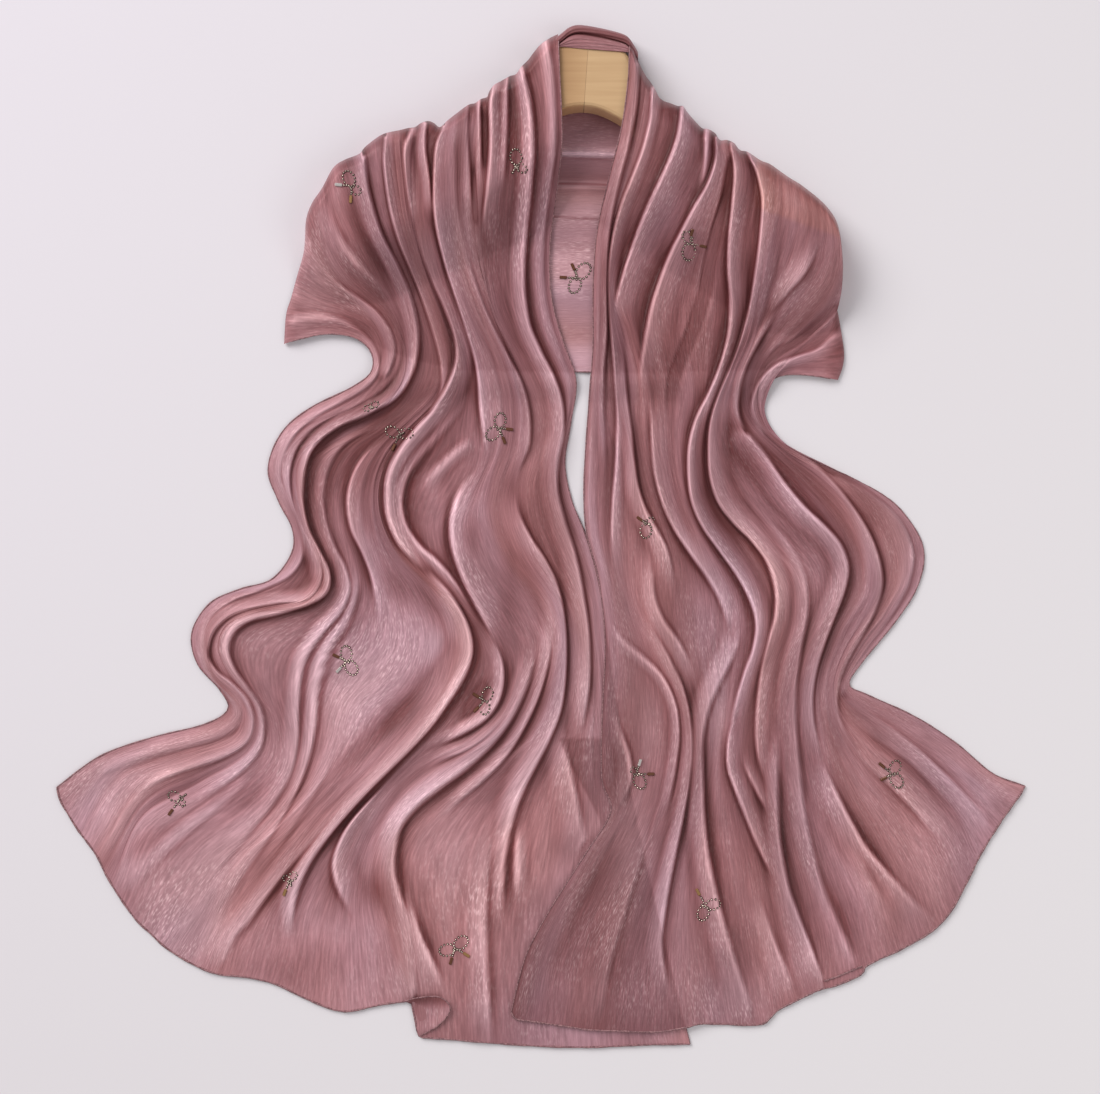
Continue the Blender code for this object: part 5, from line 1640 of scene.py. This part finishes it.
# Sizes of the bows, in pixels where no unit is given
KNOT_STONES = ((0.0, 0.0), (1.7, 1.3), (-1.5, 1.5))
LOOP_LONG = 16.0
LOOP_WIDE = 11.5
LOOP_STONES = 14
LOOP_LEAST = 7
TAIL_STONES = (3.2, 5.6, 8.0)
BAR_AT = 13.4
BAR_LONG = 7.4
BAR_WIDE = 3.0
STONE_RADIUS = 0.60 * MM
SETTING_RADIUS = 1.18 * MM
SETTING_DEEP = 0.6 * MM
STONE_FLAT = 0.7
SETTING_TOP = 1.15 * STONE_RADIUS
BAR_DEEP = 1.4 * MM
BAR_BEVEL = 0.5 * MM
JEWELS = {
    # kind: (name, colour, roughness, metallic)
    "stone": ("clear stone", (0.62, 0.50, 0.41), 0.14, 0.5),
    "setting": ("stone setting", (0.050, 0.021, 0.017), 0.50, 0.3),
    "m": ("smoky bar", (0.15, 0.060, 0.030), 0.20, 0.4),
    "g": ("golden bar", (0.42, 0.24, 0.10), 0.25, 0.7),
    "s": ("silver bar", (0.72, 0.68, 0.64), 0.20, 0.8),
}


def bow_plan(loops, loop_sizes, tails, tail_sizes, kinds):
    """The stones of a bow and its bars, in pixels from the knot."""
    stones, bars = list(KNOT_STONES), []
    for turn, size in zip(loops, loop_sizes):
        cosine, sine = cos_sin(turn)
        count = max(int(LOOP_STONES * size), LOOP_LEAST)
        for index in range(1, count):
            angle = 2.0 * math.pi * index / count
            out = size * LOOP_LONG / 2 * (1.0 - math.cos(angle))
            side = size * LOOP_WIDE / 2 * math.sin(angle)
            stones.append((out * cosine - side * sine, out * sine + side * cosine))
    for turn, size, kind in zip(tails, tail_sizes, kinds):
        cosine, sine = cos_sin(turn)
        stones += [(out * size * cosine, out * size * sine) for out in TAIL_STONES]
        if kind != "-":
            bars.append((BAR_AT * size * cosine, BAR_AT * size * sine, turn, kind))
    return stones, bars


def jewel_material(name, colour, roughness, metallic):
    """A plain material of one colour."""
    material, _, _, shader = new_material(name)
    shader.inputs["Base Color"].default_value = (*colour, 1.0)
    shader.inputs["Roughness"].default_value = roughness
    shader.inputs["Metallic"].default_value = metallic
    return material


def set_stone(builder, spot, up, slots):
    """A stone in its dark setting."""
    turn = up.to_track_quat("Z", "Y").to_matrix().to_4x4()
    base = Matrix.Translation(spot + up * SETTING_DEEP / 2) @ turn
    made = bmesh.ops.create_cone(
        builder, segments=8, cap_ends=True, radius1=SETTING_RADIUS, radius2=SETTING_TOP,
        depth=SETTING_DEEP, matrix=base)
    for face in {face for vert in made["verts"] for face in vert.link_faces}:
        face.material_index = slots.index("setting")
    top = Matrix.Translation(spot + up * SETTING_DEEP) @ turn
    bmesh.ops.create_icosphere(builder, subdivisions=1, radius=STONE_RADIUS,
                               matrix=top @ Matrix.Diagonal((1.0, 1.0, STONE_FLAT, 1.0)))


def set_bar(builder, spot, up, angle, index):
    """A long cut stone in its frame, lying along a tail of a bow."""
    cosine, sine = cos_sin(angle)
    ahead = Vector((cosine, -sine, 0.0))
    side = up.cross(ahead).normalized()
    ahead = side.cross(up).normalized()
    turn = Matrix((ahead, side, up)).transposed().to_4x4()
    size = Matrix.Diagonal((BAR_LONG * PIXEL, BAR_WIDE * PIXEL, BAR_DEEP, 1.0))
    bar = bmesh.new()
    bmesh.ops.create_cube(bar, size=1.0, matrix=(
        Matrix.Translation(spot + up * BAR_DEEP / 2) @ turn @ size))
    bmesh.ops.bevel(bar, geom=list(bar.edges), offset=BAR_BEVEL, segments=1, affect="EDGES",
                    profile=0.5)
    for face in bar.faces:
        face.material_index = index
    made = built_mesh("bar", bar)
    builder.from_mesh(made)
    bpy.data.meshes.remove(made)


def bow_pieces(sheets):
    """Every bow as stones in their settings, with a bar at the end of each tail."""
    slots = list(JEWELS)
    materials = [jewel_material(*JEWELS[kind]) for kind in slots]
    for number, (sheet, knot, loops, loop_sizes, tails, tail_sizes, kinds) in enumerate(BOWS, 1):
        stones, bars = bow_plan(loops, loop_sizes, tails, tail_sizes, kinds)
        builder = bmesh.new()
        grids = sheets[sheet][1:]
        for x, y in stones:
            set_stone(builder, *on_cloth(*grids, (knot[0] + x, knot[1] + y)), slots)
        for x, y, angle, kind in bars:
            spot, up = on_cloth(*grids, (knot[0] + x, knot[1] + y))
            set_bar(builder, spot, up, angle, slots.index(kind))
        mesh = built_mesh("bow_%02d" % number, builder)
        for material in materials:
            mesh.materials.append(material)
        piece = new_object("bow_%02d" % number, mesh)
        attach(piece, "root")


# The joint of the hanger, the places between which its left half goes from dark to pale,
# and the thin line of glue in the joint
JOINT_MID = (586.0, 80.2)
JOINT_Y = (FOOTPRINT_MID[1] - JOINT_MID[1]) * PIXEL
WOOD_LEFT = (560.0 - FOOTPRINT_MID[0]) * PIXEL
WOOD_MIDDLE = (JOINT_MID[0] - FOOTPRINT_MID[0]) * PIXEL
WOOD_SLANT = math.tan(HANGER_TURN)
GLUE_WIDE = 0.5 * MM
GLUE_LONG = 45.0 * MM
GLUE_DEEP = 29.4 * MM
GLUE_DROP = 0.2 * MM
GRAIN_NOISE = ((14.0, 260.0, 60.0), 4.0)
GRAIN_STOPS = ((0.30, (0.53, 0.335, 0.172)), (0.72, (0.60, 0.395, 0.210)))
HALF_STOPS = ((0.0, (0.72, 0.62, 0.54)), (0.96, (0.93, 0.88, 0.84)), (1.0, (1.0, 1.0, 1.0)))
# Painted light on the sides and underside of the wood, more as a face turns away from the top
SIDE_LIGHT_STOPS = ((0.2, (1.5, 1.5, 1.5)), (0.85, (1.0, 1.0, 1.0)))


def wood_material():
    """Pale lacquered wood, with a browner left half and painted light on its sides and underside.
    """
    material, nodes, links, shader = new_material("hanger wood")
    where = nodes.new("ShaderNodeTexCoord")
    grain = noise_node(nodes, links, where.outputs["Object"], *GRAIN_NOISE)
    split = nodes.new("ShaderNodeSeparateXYZ")
    links.new(where.outputs["Object"], split.inputs["Vector"])
    tilted = nodes.new("ShaderNodeMath")
    tilted.operation = "MULTIPLY_ADD"
    links.new(split.outputs["Y"], tilted.inputs[0])
    tilted.inputs[1].default_value = -WOOD_SLANT
    tilted.inputs[2].default_value = JOINT_Y * WOOD_SLANT
    level = nodes.new("ShaderNodeMath")
    links.new(split.outputs["X"], level.inputs[0])
    links.new(tilted.outputs["Value"], level.inputs[1])
    reach = span_node(nodes, links, level.outputs["Value"], WOOD_LEFT, WOOD_MIDDLE)
    base = ramp_node(nodes, links, grain, GRAIN_STOPS)
    base = toned(nodes, links, base, reach, HALF_STOPS)
    # Painted light: faces that turn away from the top are painted lighter
    facing = nodes.new("ShaderNodeNewGeometry")
    upward = nodes.new("ShaderNodeSeparateXYZ")
    links.new(facing.outputs["True Normal"], upward.inputs["Vector"])
    base = toned(nodes, links, base, upward.outputs["Z"], SIDE_LIGHT_STOPS)
    links.new(base, shader.inputs["Base Color"])
    shader.inputs["Roughness"].default_value = 0.42
    return material


def dress_hanger():
    """The wood of the two halves and the glue line between them."""
    wood = wood_material()
    for name in ("hanger_left", "hanger_right"):
        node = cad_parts[name]
        node.data.materials.clear()
        node.data.materials.append(wood)
    builder = bmesh.new()
    joint_x = JOINT_MID[0] - (JOINT_MID[1] - HANGER_MID[1]) * WOOD_SLANT
    middle = Vector(place(joint_x, JOINT_MID[1], HANGER_TOP - GLUE_DEEP / 2 - GLUE_DROP))
    turn = Matrix.Rotation(-HANGER_TURN, 4, "Z")
    size = Matrix.Diagonal((GLUE_WIDE, GLUE_LONG, GLUE_DEEP, 1.0))
    bmesh.ops.create_cube(builder, size=1.0, matrix=Matrix.Translation(middle) @ turn @ size)
    mesh = built_mesh("glue_line", builder)
    mesh.materials.append(jewel_material("glue line", (0.36, 0.22, 0.12), 0.5, 0.0))
    piece = new_object("glue_line", mesh)
    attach(piece, "root")


# The studio, in metres: half the floor, how far the floor lies below the cloth, and the
# sensor of the camera in mm
FLOOR_HALF = 4.0
FLOOR_DROP = 0.3 * MM
# Painted light on the floor: darker toward its back left, brighter toward its right and front
FLOOR_LIGHT_STOPS = (
    (0.0, (0.685, 0.640, 0.685)), (0.5, (0.760, 0.720, 0.742)), (1.0, (0.835, 0.80, 0.81)),
)
SKY_COLOUR = (1.0, 0.98, 1.0, 1.0)
SKY_POWER = 0.45
SENSOR = 36.0
LAMPS = (
    # name, place, size, power in watts
    ("window light", (-2.1, 2.2, 2.2), (2.4, 2.2), 126.0),
    ("fill light", (2.2, -0.8, 2.2), (1.6, 1.6), 16.0),
)


def floor_material():
    """A pale matt surface with painted light, a little brighter toward its right and front
    and darker toward its back left.
    """
    pale, nodes, links, shader = new_material("pale floor")
    where = nodes.new("ShaderNodeTexCoord")
    split = nodes.new("ShaderNodeSeparateXYZ")
    links.new(where.outputs["Object"], split.inputs["Vector"])
    slant = nodes.new("ShaderNodeMath")
    slant.operation = "SUBTRACT"
    links.new(split.outputs["X"], slant.inputs[0])
    links.new(split.outputs["Y"], slant.inputs[1])
    reach = span_node(nodes, links, slant.outputs["Value"], -1.0, 1.0)
    links.new(ramp_node(nodes, links, reach, FLOOR_LIGHT_STOPS), shader.inputs["Base Color"])
    shader.inputs["Roughness"].default_value = 0.9
    return pale


def lay_floor():
    """The surface on which the cloth lies."""
    builder = bmesh.new()
    bmesh.ops.create_grid(builder, x_segments=2, y_segments=2, size=FLOOR_HALF)
    mesh = built_mesh("floor", builder)
    mesh.transform(Matrix.Translation((0.0, 0.0, -FLOOR_DROP)))
    floor = new_object("floor", mesh)
    mesh.materials.append(floor_material())


def light_up():
    """Soft light from all round, a large light and a small one."""
    world = bpy.data.worlds.new("studio")
    bpy.context.scene.world = world
    world.use_nodes = True
    sky = world.node_tree.nodes["Background"]
    sky.inputs["Color"].default_value = SKY_COLOUR
    sky.inputs["Strength"].default_value = SKY_POWER
    for name, spot, size, power in LAMPS:
        lamp = bpy.data.lights.new(name, "AREA")
        lamp.shape = "RECTANGLE"
        lamp.size, lamp.size_y = size
        lamp.energy = power
        holder = new_object(name, lamp)
        holder.location = spot
        holder.rotation_euler = (-Vector(spot)).to_track_quat("-Z", "Y").to_euler()


def set_camera():
    """The camera straight above, at the height of the eye."""
    camera = bpy.data.cameras.new("camera")
    camera.sensor_width = SENSOR
    camera.lens = SENSOR * EYE_HEIGHT / (FRAME_WIDTH * PIXEL)
    eye = new_object("camera", camera)
    eye.location = ((EYE_AT[0] - FOOTPRINT_MID[0]) * PIXEL, (FOOTPRINT_MID[1] - EYE_AT[1]) * PIXEL,
                    EYE_HEIGHT)
    bpy.context.scene.camera = eye
    bpy.context.scene.view_settings.view_transform = "Standard"


def main():
    """The sheets, the hems and bows on them, the hanger and the studio."""
    sheets = {"left": left_cloth(), "right": right_cloth(), "back": back_cloth()}
    left, right, back = (sheets[name][0] for name in ("left", "right", "back"))
    for piece, node, flat, area, rests in (
            (left, "left_front", (CLOTH_WIDTH, FRONT_LENGTH), LEFT_AREA, ["back_stretch"]),
            (right, "right_front", (CLOTH_WIDTH, FRONT_LENGTH), RIGHT_AREA,
             ["left_front", "back_stretch"]),
            (back, "back_stretch", BACK_FLAT, None, []),
            (neck_cloth(), "neck_roll", NECK_FLAT, None, ["back_stretch"])):
        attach(piece, "root")
        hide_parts(node)
    sew_hems(sheets)
    bow_pieces(sheets)
    dress_hanger()
    lay_floor()
    light_up()
    set_camera()


main()
